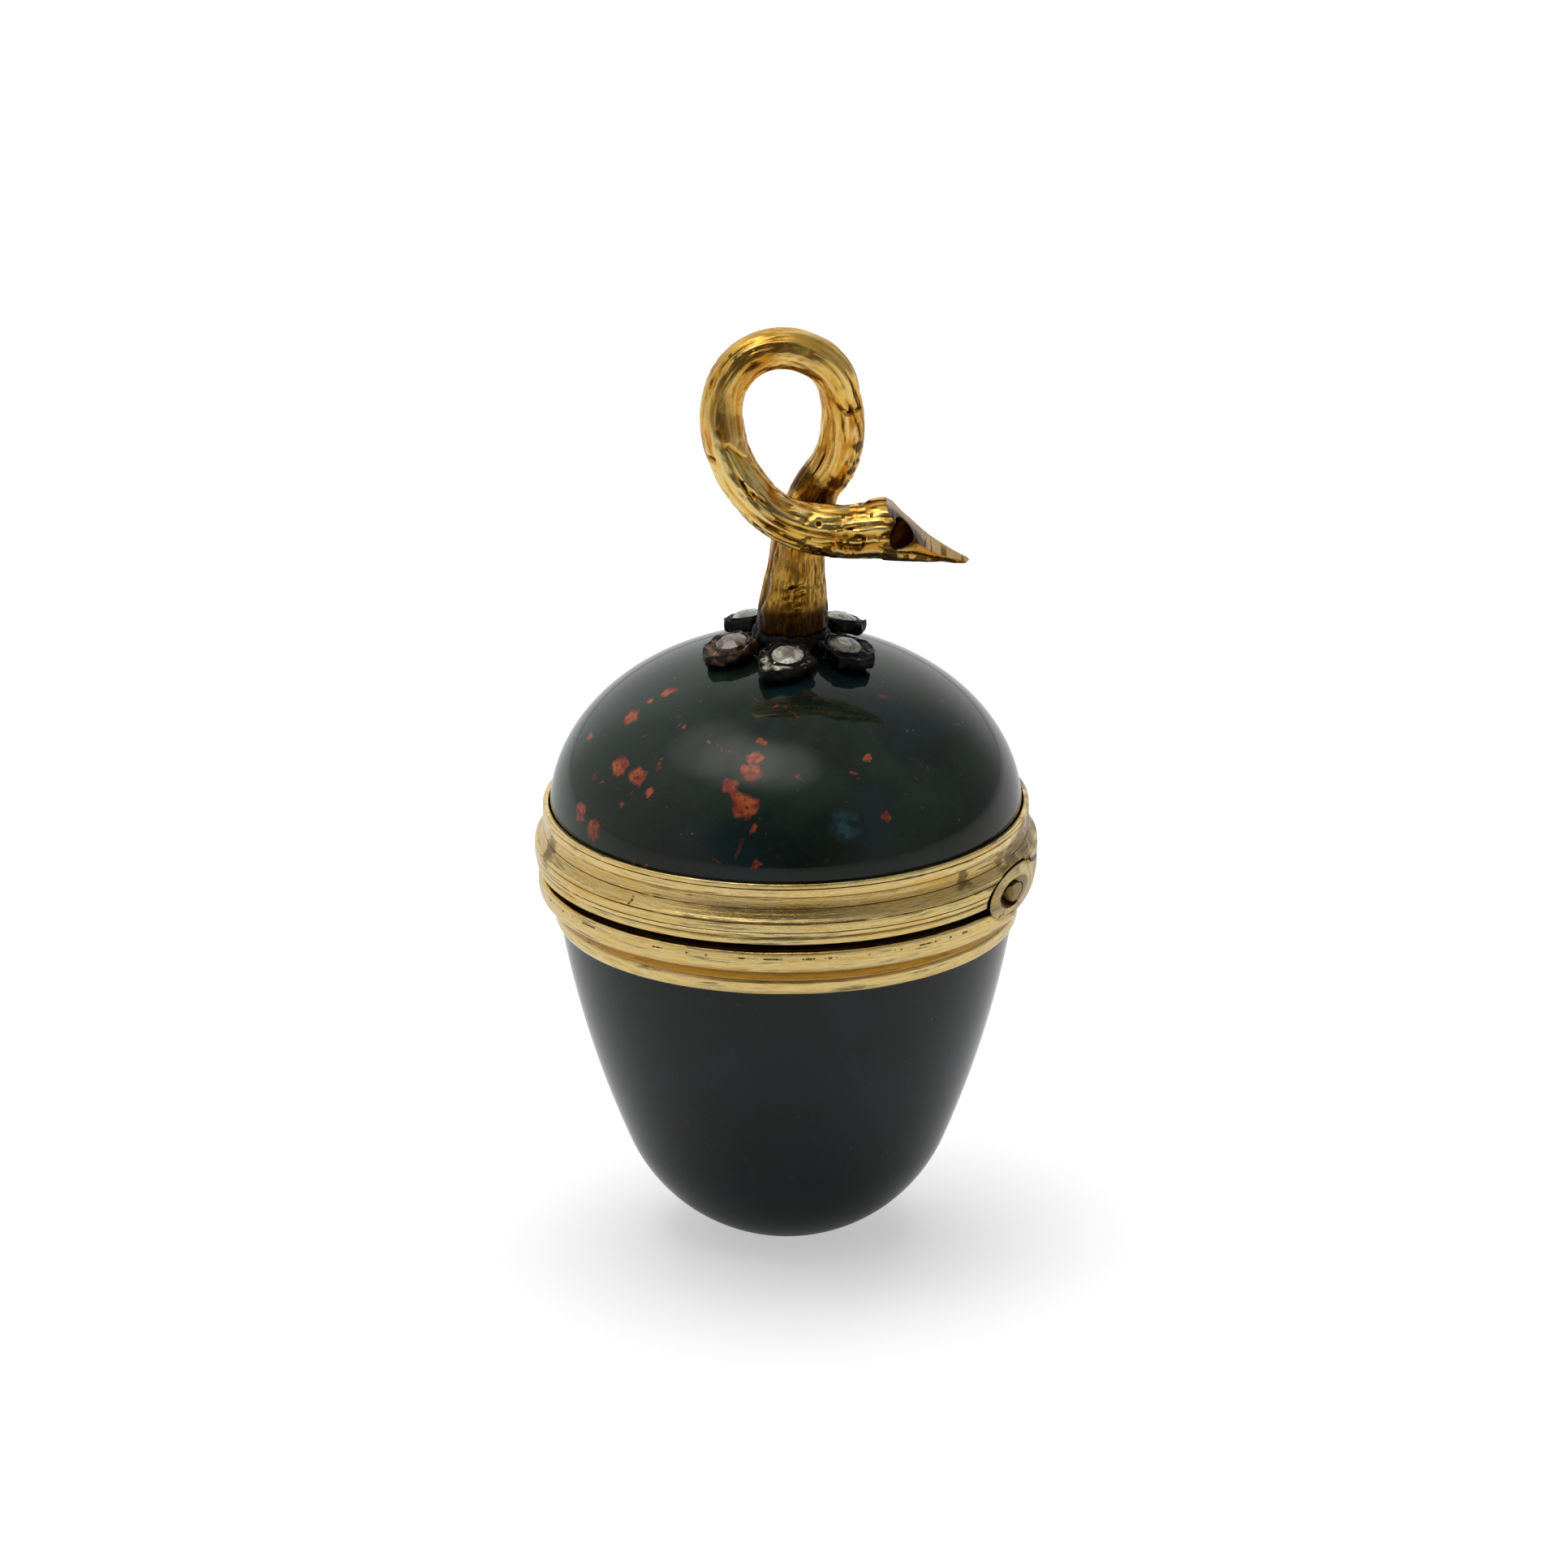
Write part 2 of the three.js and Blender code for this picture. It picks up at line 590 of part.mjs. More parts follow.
// Where a leaf lies: its inner end against the collar, its tilt that of the dome under it
const leafStart = collarRadius + seatGap;
const leafMiddle = leafStart + leafLength / 2;
const leafSlope = -Math.tan(rad(leafTilt));
const domeZ = (r) => domeEquator + domeRise * Math.sqrt(1 - (r / domeR) ** 2);
const leafLow = domeZ(leafMiddle) - leafSlope * (leafLength / 2) + seatGap * 3;

function calyxSeat(bearing) {
  const spoke = new THREE.Group();
  spoke.rotation.z = rad(bearing - 90);
  const seat = new THREE.Group();
  seat.position.set(leafStart, 0, leafLow);
  seat.rotation.y = rad(leafTilt);
  spoke.add(seat);
  return seat;
}

// Handle: rings of bark ridges along the twig's curve, cut flat at the calyx and slanting at its end
function twigGeometry() {
  const curve = new THREE.CatmullRomCurve3(
    twigPath.map(([x, y, z]) => new THREE.Vector3(x, y, z + calyxTop)),
  );
  const radii = new THREE.CatmullRomCurve3(twigPath.map((row) => new THREE.Vector3(row[3], 0, 0)));
  const frames = curve.computeFrenetFrames(twigSteps, false);
  const around = 2 * twigRidges;
  const positions = [];
  const faces = [];
  for (let i = 0; i <= twigSteps; i++) {
    const t = curve.getUtoTmapping(i / twigSteps);
    const centre = curve.getPoint(t);
    const radius = radii.getPoint(t).x;
    for (let j = 0; j < around; j++) {
      const angle = (2 * Math.PI * j) / around;
      const reach = radius * (1 + (j % 2 ? -ridgeDepth : ridgeDepth));
      const point = centre.clone();
      point.addScaledVector(frames.normals[i], reach * Math.cos(angle));
      point.addScaledVector(frames.binormals[i], reach * Math.sin(angle));
      positions.push(point.x, point.y, point.z);
    }
  }
  for (let i = 0; i < twigSteps; i++) {
    for (let j = 0; j < around; j++) {
      const a = i * around + j;
      const b = i * around + ((j + 1) % around);
      faces.push(a, b, b + around, a, b + around, a + around);
    }
  }
  for (const [ring, turn] of [[0, -1], [twigSteps, 1]]) {
    for (let j = 1; j < around - 1; j++) {
      const first = ring * around;
      faces.push(first, first + j + (turn > 0 ? 0 : 1), first + j + (turn > 0 ? 1 : 0));
    }
  }
  const geometry = new THREE.BufferGeometry();
  geometry.setAttribute("position", new THREE.Float32BufferAttribute(positions, 3));
  geometry.setIndex(faces);
  return geometry;
}

function handleGeometry() {
  const seat = calyxTop + seatGap;
  const reach = mountR;
  const below = block([-reach, -reach, seat - 2 * reach], [reach, reach, seat]);
  const [, endY, endZ] = twigPath[twigPath.length - 4];
  const scoopZ = calyxTop + endZ + twigPath[twigPath.length - 4][3] + scoopRise;
  const scoop = bar(scoopRadius, scoopStart + scoopLead, scoopZ, endY - reach, endY + reach, 40);
  const shankLow = washerBottom - nutThickness - seatGap - shankOverrun;
  const shank = new THREE.CylinderGeometry(shankRadius, shankRadius, seat + 1 - shankLow, 16);
  shank.rotateX(Math.PI / 2).translate(0, 0, (seat + 1 + shankLow) / 2);
  return join(cut(twigGeometry(), below, scoop), shank);
}

// Washer: a small rosette against the inside of the dome
const washerTop =
  domeEquator + domeInnerRise * Math.sqrt(1 - (washerRadius / domeInnerR) ** 2) - seatGap;
const washerBottom = washerTop - washerThickness;

function washerGeometry() {
  const points = [];
  const steps = washerLobes * 4;
  for (let i = 0; i < steps; i++) {
    const angle = (2 * Math.PI * i) / steps;
    const lobe = 0.9 + 0.1 * Math.abs(Math.cos((washerLobes * angle) / 2));
    points.push(
      new THREE.Vector2(washerRadius * lobe * Math.cos(angle), washerRadius * lobe * Math.sin(angle)),
    );
  }
  const shape = new THREE.Shape(points);
  const bore = new THREE.Path().absarc(0, 0, shankRadius + seatGap, 0, 2 * Math.PI).getPoints(8);
  shape.holes.push(new THREE.Path(bore.slice(1)));
  return slab(shape, washerBottom, washerThickness);
}

function nutGeometry() {
  const half = nutWidth / 2;
  const chamfer = nutWidth * 0.18;
  const shape = new THREE.Shape().moveTo(half, -half + chamfer);
  shape.lineTo(half, half - chamfer).lineTo(half - chamfer, half);
  shape.lineTo(-half + chamfer, half).lineTo(-half, half - chamfer);
  shape.lineTo(-half, -half + chamfer).lineTo(-half + chamfer, -half);
  shape.lineTo(half - chamfer, -half);
  const bore = new THREE.Path().absarc(0, 0, shankRadius + seatGap, 0, 2 * Math.PI).getPoints(8);
  shape.holes.push(new THREE.Path(bore.slice(1)));
  return slab(shape, washerBottom - seatGap - nutThickness, nutThickness);
}

// Assembly
const root = new THREE.Group();

function add(name, geometry, material, parent = root) {
  const mesh = new THREE.Mesh(geometry, material);
  mesh.name = name;
  parent.add(mesh);
  return mesh;
}

const cup = new THREE.Group();
add("cup_stone", cupGeometry(), bloodstone, cup);
add("cup_mount", cupMountGeometry(), gold, cup);
add("cup_bezel", bezelGeometry(), gold, cup);
add("sponge", spongeGeometry(), spongeFoam, cup);
add("hinge_knuckle_front", outerKnuckleGeometry(-1), gold, cup);
add("hinge_knuckle_back", outerKnuckleGeometry(1), gold, cup);
add("hinge_pin", hingePinGeometry(), gold, cup);
add("grille_seat", grilleSeatGeometry(), gold, cup);
const grilleInner = grilleMiddleLength / 2 + endGap;
add("grille_knuckle_front", grilleKnuckle(-grilleHalfHinge, -grilleInner), gold, cup);
add("grille_knuckle_back", grilleKnuckle(grilleInner, grilleHalfHinge), gold, cup);
add(
  "grille_pin",
  bar(grillePinRadius, grilleHingeX, grilleHingeZ, -grilleHalfHinge, grilleHalfHinge, 12),
  gold, cup,
);

const grille = new THREE.Group();
add("grille_frame", grilleFrameGeometry(), gold, grille);
add("grille_plate", grillePlateGeometry(), gold, grille);
add("grille_knuckle_middle", grilleKnuckle(-grilleMiddleLength / 2, grilleMiddleLength / 2), gold, grille);
add("grille_tab", grilleTabGeometry(), gold, grille);

const lid = new THREE.Group();
add("lid_stone", domeGeometry(), bloodstone, lid);
add("lid_mount", lidMountGeometry(), gold, lid);
add("lid_liner", linerGeometry(), gold, lid);
add("hinge_knuckle_lid", knuckleGeometry(-lidZone, lidZone), gold, lid);

const finial = new THREE.Group();
finial.position.x = finialX;
add("calyx_collar", collarGeometry(), silver, finial);
leafBearings.forEach((bearing, i) => {
  const seat = calyxSeat(bearing);
  add(`calyx_leaf_${i + 1}`, leafGeometry(), silver, seat);
  add(`rose_stone_${i + 1}`, roseStoneGeometry(), roseStone, seat);
  finial.add(seat.parent);
});
add("twig_handle", handleGeometry(), gold, finial);
add("handle_washer", washerGeometry(), gold, finial);
add("handle_nut", nutGeometry(), gold, finial);

lid.add(finial);
root.add(cup, grille, lid);

export default root;
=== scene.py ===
# %% [markdown]
# # An acorn scent box
# The box is a bloodstone acorn in gold mounts. Its lid opens on a hinge at the right, under it a pierced
# grille covers a sponge, and a gold twig grows out of a calyx of silver leaves.
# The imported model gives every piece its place, its size and the way that it moves. This script keeps that
# frame and makes what the eye sees: rounder outlines, hand work, bark, and a finish for each material.

import json
import math

import bpy
from mathutils import Matrix, Vector, noise


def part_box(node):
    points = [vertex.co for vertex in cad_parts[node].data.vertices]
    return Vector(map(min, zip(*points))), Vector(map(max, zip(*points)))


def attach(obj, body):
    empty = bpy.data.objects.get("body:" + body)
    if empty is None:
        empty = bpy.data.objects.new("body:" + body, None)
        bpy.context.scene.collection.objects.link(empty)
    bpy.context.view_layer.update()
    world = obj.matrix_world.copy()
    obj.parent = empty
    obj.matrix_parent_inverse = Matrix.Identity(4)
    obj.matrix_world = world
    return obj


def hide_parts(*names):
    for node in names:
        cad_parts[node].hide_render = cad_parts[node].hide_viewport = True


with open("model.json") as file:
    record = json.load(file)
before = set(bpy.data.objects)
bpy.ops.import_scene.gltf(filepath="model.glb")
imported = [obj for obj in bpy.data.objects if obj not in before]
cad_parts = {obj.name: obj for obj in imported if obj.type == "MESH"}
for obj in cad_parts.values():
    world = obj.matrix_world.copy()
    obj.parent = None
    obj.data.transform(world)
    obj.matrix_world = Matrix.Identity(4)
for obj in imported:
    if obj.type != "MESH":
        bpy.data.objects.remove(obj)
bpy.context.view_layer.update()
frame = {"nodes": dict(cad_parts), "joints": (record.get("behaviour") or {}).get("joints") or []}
nodes = frame["nodes"]
mm = 0.001

# %% [markdown]
# ## Places that the pieces share
# All that is made here meets something that the frame holds, so the heights and radii are read from the
# nodes' boxes. The rest are real sizes in millimetres, as on the bench.

# %% Read the driving sizes from the frame
def low(node, axis):
    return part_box(node)[0][axis] / mm


def high(node, axis):
    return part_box(node)[1][axis] / mm


X, Y, Z = range(3)
seat_gap = 0.05
bead_radius = high("lid_mount", Y)
cup_mount_low, cup_mount_top = low("cup_mount", Z), high("cup_mount", Z)
lid_mount_low, lid_mount_top = low("lid_mount", Z), high("lid_mount", Z)
dome_radius, dome_top = high("lid_stone", Y), high("lid_stone", Z)
cup_rim = high("cup_stone", Z)
bezel_radius, bezel_low, bezel_top = high("cup_bezel", Y), low("cup_bezel", Z), high("cup_bezel", Z)
hinge = next(joint for joint in frame["joints"] if joint["name"] == "lid_hinge")
hinge_x, hinge_z = hinge["pos_m"][X] / mm, hinge["pos_m"][Z] / mm
knuckle_radius = (high("hinge_knuckle_lid", Z) - low("hinge_knuckle_lid", Z)) / 2
lid_knuckle_half = high("hinge_knuckle_lid", Y)
calyx_top = high("calyx_collar", Z)
finial_x = (low("calyx_collar", X) + high("calyx_collar", X)) / 2
print("widest bead %.2f mm, dome %.2f mm" % (bead_radius, dome_radius))
print("hinge axis at %.2f, %.2f, calyx at %.2f, %.2f" % (hinge_x, hinge_z, finial_x, calyx_top))

# %% [markdown]
# ## Turning
# Stones and mounts are turned: a stone is ground and a mount is spun or turned on a lathe, so one outline
# makes the whole form. A circle's points are moved onto the outline and spun round the axis. Corners are
# rounded first, because polished gold has no sharp edge and the bright line along a moulding is that round.

# %% Helpers: a clear selection, a turned piece
def clear():
    """Leaves edit mode and deselects everything, since an operator acts on all that is selected."""
    if bpy.context.mode != "OBJECT":
        bpy.ops.object.mode_set(mode="OBJECT")
    bpy.ops.object.select_all(action="DESELECT")


def hold(piece):
    clear()
    piece.select_set(True)
    bpy.context.view_layer.objects.active = piece


def named(name):
    piece = bpy.context.object
    piece.name = piece.data.name = name
    return piece


def turned(name, outline, steps=192):
    """Spins a closed outline of (radius, height) points, in mm, round the box's axis."""
    clear()
    bpy.ops.mesh.primitive_circle_add(vertices=len(outline), radius=1)
    piece = named(name)
    for vertex, (radius, height) in zip(piece.data.vertices, outline):
        vertex.co = (radius * mm, 0, height * mm)
    bpy.ops.object.mode_set(mode="EDIT")
    bpy.ops.mesh.select_all(action="SELECT")
    bpy.ops.mesh.spin(steps=steps, angle=math.tau, center=(0, 0, 0), axis=(0, 0, 1))
    bpy.ops.mesh.select_all(action="SELECT")
    bpy.ops.mesh.remove_doubles(threshold=0.0005 * mm)
    bpy.ops.mesh.delete_loose()
    bpy.ops.mesh.normals_make_consistent(inside=False)
    bpy.ops.object.mode_set(mode="OBJECT")
    return piece


# %% Helpers: outlines
def bow(start, pull, end, steps=8):
    """Points of a curve from start to end, drawn towards pull."""
    points = []
    for i in range(1, steps + 1):
        t = i / steps
        first, middle, last = (1 - t) ** 2, 2 * t * (1 - t), t * t
        points.append(tuple(first * a + middle * b + last * c for a, b, c in zip(start, pull, end)))
    return points


def arc(centre, radii, first, last, steps=24):
    """Points of an elliptical arc round centre, in degrees."""
    angles = [math.radians(first + (last - first) * i / steps) for i in range(steps + 1)]
    return [(centre[0] + radii[0] * math.cos(a), centre[1] + radii[1] * math.sin(a)) for a in angles]


def soften(outline, reach):
    """Rounds each corner of a closed outline, over no more than reach or a third of its sides."""
    points = [Vector(point) for point in outline]
    softened = []
    for before, corner, after in zip(points[-1:] + points[:-1], points, points[1:] + points[:1]):
        back, on = before - corner, after - corner
        if corner.x < 0.01 or back.length * on.length == 0 or back.angle(on) > math.radians(165):
            softened.append(tuple(corner))
            continue
        start = corner + back * min(reach / back.length, 0.33)
        end = corner + on * min(reach / on.length, 0.33)
        softened += [tuple(start)] + bow(start, corner, end, 3)
    return softened


def outermost(outline, height):
    """The radius of an outline's outer side at a height, and the edge that it lies on."""
    crossings = [(r0 + (r1 - r0) * (height - z0) / (z1 - z0), i)
                 for i, ((r0, z0), (r1, z1)) in enumerate(zip(outline, outline[1:]))
                 if min(z0, z1) <= height < max(z0, z1)]
    return max(crossings)


def grooved(outline, height, width, depth):
    """Presses a fine line into the outer side of an outline, at a height."""
    heights = (height - width / 2, height, height + width / 2)
    (below, first), (middle, _), (above, last) = (outermost(outline, level) for level in heights)
    dip = [(below, height - width / 2), (middle - depth, height - width / 5),
           (middle - depth, height + width / 5), (above, height + width / 2)]
    return outline[:first + 1] + dip + outline[last + 1:]


# %% [markdown]
# ## Cutting
# Where the knuckles sit, the goldsmith files the mounts away. A bar on the hinge's axis cuts such a notch,
# and the knuckles themselves are a tube filed to the curve of the mounts. Boolean cuts do both.

# %% Helpers: bars, cuts and the last touch
def bar(radius, y_from, y_to, x=hinge_x, z=hinge_z, sides=96):
    """A round bar along the hinge's axis, to cut with."""
    clear()
    bpy.ops.mesh.primitive_cylinder_add(
        vertices=sides, radius=radius * mm, depth=abs(y_to - y_from) * mm,
        location=(x * mm, (y_from + y_to) / 2 * mm, z * mm), rotation=(math.radians(90), 0, 0))
    return settled()


def settled():
    """Moves the place of the piece just made into its mesh, so that its object sits at the origin."""
    bpy.ops.object.transform_apply(location=True, rotation=True, scale=True)
    return bpy.context.object


def post(radius, z_from, z_to):
    """An upright round bar on the handle's axis, to cut or to join."""
    clear()
    bpy.ops.mesh.primitive_cylinder_add(
        vertices=48, radius=radius * mm, depth=(z_to - z_from) * mm,
        location=(finial_x * mm, 0, (z_from + z_to) / 2 * mm))
    return settled()


def modify(piece, kind, **settings):
    """Adds a modifier, sets it up and applies it."""
    hold(piece)
    step = piece.modifiers.new(kind, kind)
    for name, value in settings.items():
        setattr(step, name, value)
    bpy.ops.object.modifier_apply(modifier=step.name)


def cut(piece, *tools, operation="DIFFERENCE"):
    for tool in tools:
        modify(piece, "BOOLEAN", operation=operation, object=tool, solver="EXACT")
        bpy.data.objects.remove(tool)


def flatten(piece, height, **side):
    """Slices a piece flat at a height. clear_inner takes away what is below, clear_outer what is above."""
    hold(piece)
    bpy.ops.object.mode_set(mode="EDIT")
    bpy.ops.mesh.select_all(action="SELECT")
    bpy.ops.mesh.bisect(plane_co=(0, 0, height * mm), plane_no=(0, 0, 1), use_fill=True, **side)
    bpy.ops.mesh.select_all(action="SELECT")
    bpy.ops.mesh.normals_make_consistent(inside=False)
    bpy.ops.object.mode_set(mode="OBJECT")


def dent(piece, depth, grain, name="dents"):
    """Pushes the surface in and out a little, as hand work does. grain is the size of a dent in mm."""
    texture = bpy.data.textures.new(name, "CLOUDS")
    texture.noise_scale, texture.noise_depth = grain * mm, 1
    modify(piece, "DISPLACE", texture=texture, texture_coords="LOCAL", strength=depth * mm, mid_level=0.5)


def smooth(piece, degrees=35):
    hold(piece)
    bpy.ops.object.shade_smooth_by_angle(angle=math.radians(degrees))


def dress(piece, material, body, slot, *replaced):
    """Gives a finished piece its material, its body and the nodes that it stands for. slot is not used."""
    piece.data.materials.clear()
    piece.data.materials.append(material)
    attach(piece, body)
    if replaced:
        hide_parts(*replaced)
    print(piece.name, "%d faces" % len(piece.data.polygons))


# %% [markdown]
# ## Finishes
# A finish is worked out with numbers that change over the surface. A small class wraps a shader socket, so
# that such sums are written as plain Python, and each one adds its Math node. Places are in millimetres of
# the object's own space, because every piece sits at the origin and all patterns then keep one scale.

# %% Helper: shader sockets that work as numbers
def tint(code):
    """A colour as it is seen, such as 'c9a04c', as the linear colour that a shader takes."""
    parts = [int(code[i:i + 2], 16) / 255 for i in (0, 2, 4)]
    return (*[p / 12.92 if p <= 0.04045 else ((p + 0.055) / 1.055) ** 2.4 for p in parts], 1)


class Amount:
    """A shader socket that + - and * work on."""

    def __init__(self, finish, socket):
        self.finish, self.socket = finish, socket

    def sum(self, operation, *terms):
        return self.finish.node("Math", {"operation": operation}, dict(enumerate(terms)))

    def __add__(self, other):
        return self.sum("ADD", self, other)

    def __sub__(self, other):
        return self.sum("SUBTRACT", self, other)

    def __rsub__(self, other):
        return self.sum("SUBTRACT", other, self)

    def __mul__(self, other):
        return self.sum("MULTIPLY", self, other)

    __radd__, __rmul__ = __add__, __mul__

    def most(self, other):
        return self.sum("MAXIMUM", self, other)

    def between(self, start, end):
        """0 at start, 1 at end and a soft change between them. start may be above end."""
        settings = {"interpolation_type": "SMOOTHSTEP"}
        if start > end:
            return 1 - self.between(end, start)
        return self.finish.node("MapRange", settings, {"Value": self, "From Min": start, "From Max": end})

    def band(self, base, start, full, fade, end):
        """1 from full to fade, and softly down to 0 at start and at end, all counted from base."""
        return self.between(base + start, base + full) * self.between(base + end, base + fade)


# %% Helper: a node tree
class Nodes:
    """A tree of shader nodes. Its methods return Amounts, which can be mixed and then set on the shader."""

    def __init__(self, tree, shader):
        self.tree, self.shader = tree, tree.nodes[shader]

    def node(self, kind, settings=None, sockets=None, out=0):
        """Adds a node of a kind, sets it up, then sets or links its sockets. Returns one output."""
        new = self.tree.nodes.new("ShaderNode" + kind)
        for name, value in (settings or {}).items():
            setattr(new, name, value)
        for name, value in (sockets or {}).items():
            if isinstance(value, Amount):
                self.tree.links.new(value.socket, new.inputs[name])
            else:
                new.inputs[name].default_value = value
        return Amount(self, new.outputs[out])

    def scaled(self, vector, scale, shift=(0, 0, 0)):
        return self.node("Mapping", {}, {"Vector": vector, "Scale": scale, "Location": shift})

    def noise(self, scale, detail=3, roughness=0.5, distortion=0.0, vector=None, out=0):
        """Cloudy noise round 0.5. scale is how many patches lie in a millimetre."""
        return self.node("TexNoise", {}, {"Vector": vector or self.place, "Scale": scale, "Detail": detail,
                                          "Roughness": roughness, "Distortion": distortion}, out)

    def mix(self, mask, first, second):
        """first where mask is 0 and second where it is 1. A colour may be given by its code."""
        first, second = (tint(value) if isinstance(value, str) else value for value in (first, second))
        return self.node("Mix", {"data_type": "RGBA"}, {"Factor": mask, 6: first, 7: second}, 2)

    def vector(self, operation, first, second=(0, 0, 0)):
        out = "Value" if operation in ("DISTANCE", "DOT_PRODUCT", "LENGTH") else "Vector"
        return self.node("VectorMath", {"operation": operation}, {0: first, 1: second}, out)

    def part(self, vector, axis):
        return self.node("SeparateXYZ", {}, {0: vector}, axis)

    def reach(self, vector, axes):
        """How far a vector reaches along the axes that are 1."""
        return self.vector("LENGTH", self.vector("MULTIPLY", vector, axes))

    def torn(self, throw, scale, detail, vector=None):
        """The place, thrown about by noise, in which a round blot gets a ragged rim."""
        cloud = self.noise(scale, detail, vector=vector, out="Color")
        cloud = self.vector("SUBTRACT", cloud, (0.5, 0.5, 0.5))
        return self.vector("ADD", self.place, self.vector("MULTIPLY", cloud, throw))

    def near(self, place, spot, size, core=0.5):
        """1 in a spot's core, which is a share of its size in mm, and 0 outside the spot."""
        return self.vector("DISTANCE", place, spot).between(size, size * core)

    def edges(self):
        """Above 0.5 on an edge, below it in a groove."""
        return self.node("NewGeometry", out="Pointiness")

    def set(self, **links):
        for name, value in links.items():
            self.tree.links.new(value.socket, self.shader.inputs[name.replace("_", " ")])


# %% Helper: a material
class Finish(Nodes):
    """One material, whose patterns are laid out in mm of the object's space."""

    def __init__(self, name, **fixed):
        self.material = bpy.data.materials.new(name)
        self.material.use_nodes = True
        super().__init__(self.material.node_tree, "Principled BSDF")
        for socket, value in fixed.items():
            self.shader.inputs[socket.replace("_", " ")].default_value = value
        self.place = self.scaled(self.node("TexCoord", out="Object"), (1000, 1000, 1000))

    def bump(self, height, strength, depth):
        """Raises the surface by height, where 1 is depth in mm."""
        sockets = {"Height": height, "Strength": strength, "Distance": depth * mm}
        self.set(Normal=self.node("Bump", {}, sockets, "Normal"))


# %% [markdown]
# ## Bloodstone
# Bloodstone is a dark green chalcedony with red specks of iron. Polished, it shows a near black green, with
# cloudy patches a little lighter or bluer, and flecks in clusters. The flecks that show in front are placed
# one by one, each a blot round its centre whose rim is broken up by noise, and finer ones are scattered by
# noise, so that no side of the box is bare.

# %% Where the flecks lie on the dome: x, y, height and size in mm
dome_flecks = [
    (-6.2, -3.2, 31.2, 0.42), (-7.2, -3.3, 30.6, 0.3), (-8.2, -3.7, 29.95, 0.62),
    (-10.35, -2.4, 28.4, 0.3), (-8.75, -6.4, 28.15, 0.68), (-7.9, -7.6, 28.0, 0.62),
    (-7.2, -8.7, 27.55, 0.33), (-8.7, -8.0, 26.6, 0.24), (-10.9, -5.7, 25.3, 0.6),
    (-10.3, -7.0, 24.8, 0.66), (-1.3, -8.45, 30.3, 0.3), (-1.7, -9.3, 29.7, 0.5),
    (-1.85, -9.9, 29.1, 0.62), (-3.0, -10.2, 28.45, 0.55), (-2.6, -10.7, 28.0, 0.5),
    (-2.1, -11.05, 27.6, 0.8), (-1.7, -11.7, 26.6, 0.27), (4.3, -8.6, 29.5, 0.26),
    (5.3, -10.5, 26.7, 0.3), (-1.65, -12.3, 24.8, 0.34),
]
blue_cloud = (3.1, -11.4, 26.6, 1.1)
print("flecks placed by hand:", len(dome_flecks))


# %% The stone's finish
def bloodstone(name, deep, veil, strength, gloss, flecks=(), clouds=()):
    """Dark stone. deep and veil are its darkest and lightest green, and strength is how much red is scattered
    in it. flecks are red and clouds blue, and both are x, y, height and size in mm."""
    stone = Finish(name, IOR=1.54, Specular_IOR_Level=0.31, Specular_Tint=gloss)
    # Green, with bluer and greyer patches
    colour = stone.mix(stone.noise(0.13, 4, 0.55, 0.6).between(0.38, 0.68), deep, veil)
    blue = stone.noise(0.16, 3, 0.5, 0.3, stone.scaled(stone.place, (1, 1, 1), (31, 7, 12)))
    colour = stone.mix(blue.between(0.52, 0.72) * 0.7, colour, "0f242b")
    grain = stone.noise(2.6, 5, 0.65)
    colour = stone.mix(grain.between(0.5, 0.85) * 0.2, colour, "34423b")
    torn = stone.torn((0.95, 0.95, 0.95), 1.5, 4)
    for *spot, size in clouds:
        mist = stone.near(torn, spot, size, 0.2) * stone.noise(1.4, 4, 0.6).between(0.35, 0.6)
        colour = stone.mix(mist, colour, "2b4349")
    specks = stone.noise(4.5, 2, 0.5).between(0.735, 0.77) * stone.noise(0.3, 2).between(0.45, 0.6)
    colour = stone.mix(specks * 0.6, colour, "77857f")
    # Red, scattered in some regions only, and in the flecks
    scatter = stone.noise(1.1, 3, 0.6, 0.8, stone.scaled(stone.place, (1, 1, 0.8), (5, 3, 9)))
    region = stone.noise(0.14, 2, 0.5, 0, stone.scaled(stone.place, (1, 1, 1), (2, 19, 4)))
    red = scatter.between(0.645, 0.71) * region.between(0.48, 0.6) * strength
    for *spot, size in flecks:
        red = red.most(stone.near(torn, spot, size, 0.55))
    rust = stone.mix(stone.noise(1.8, 3).between(0.35, 0.65), "7a2a22", "a4502a")
    colour = stone.mix(red * stone.noise(5, 3).between(0.2, 0.55), colour, rust)
    stone.set(Base_Color=colour, Roughness=0.035 + 0.05 * stone.noise(0.5, 4).between(0.4, 0.8) + 0.12 * red)
    stone.bump(stone.noise(0.35, 2) * 0.4 + red * 0.08, 0.35, 0.02)
    return stone.material


yellowish, white = (1, 0.97, 0.88, 1), (1, 1, 1, 1)
dome_stone = bloodstone("dome_bloodstone", "0d1713", "1b2a23", 0.8, yellowish, dome_flecks, [blue_cloud])
cup_stone = bloodstone("cup_bloodstone", "081213", "0e1a1c", 0.12, white)
print("finishes of stone:", len(bpy.data.materials))
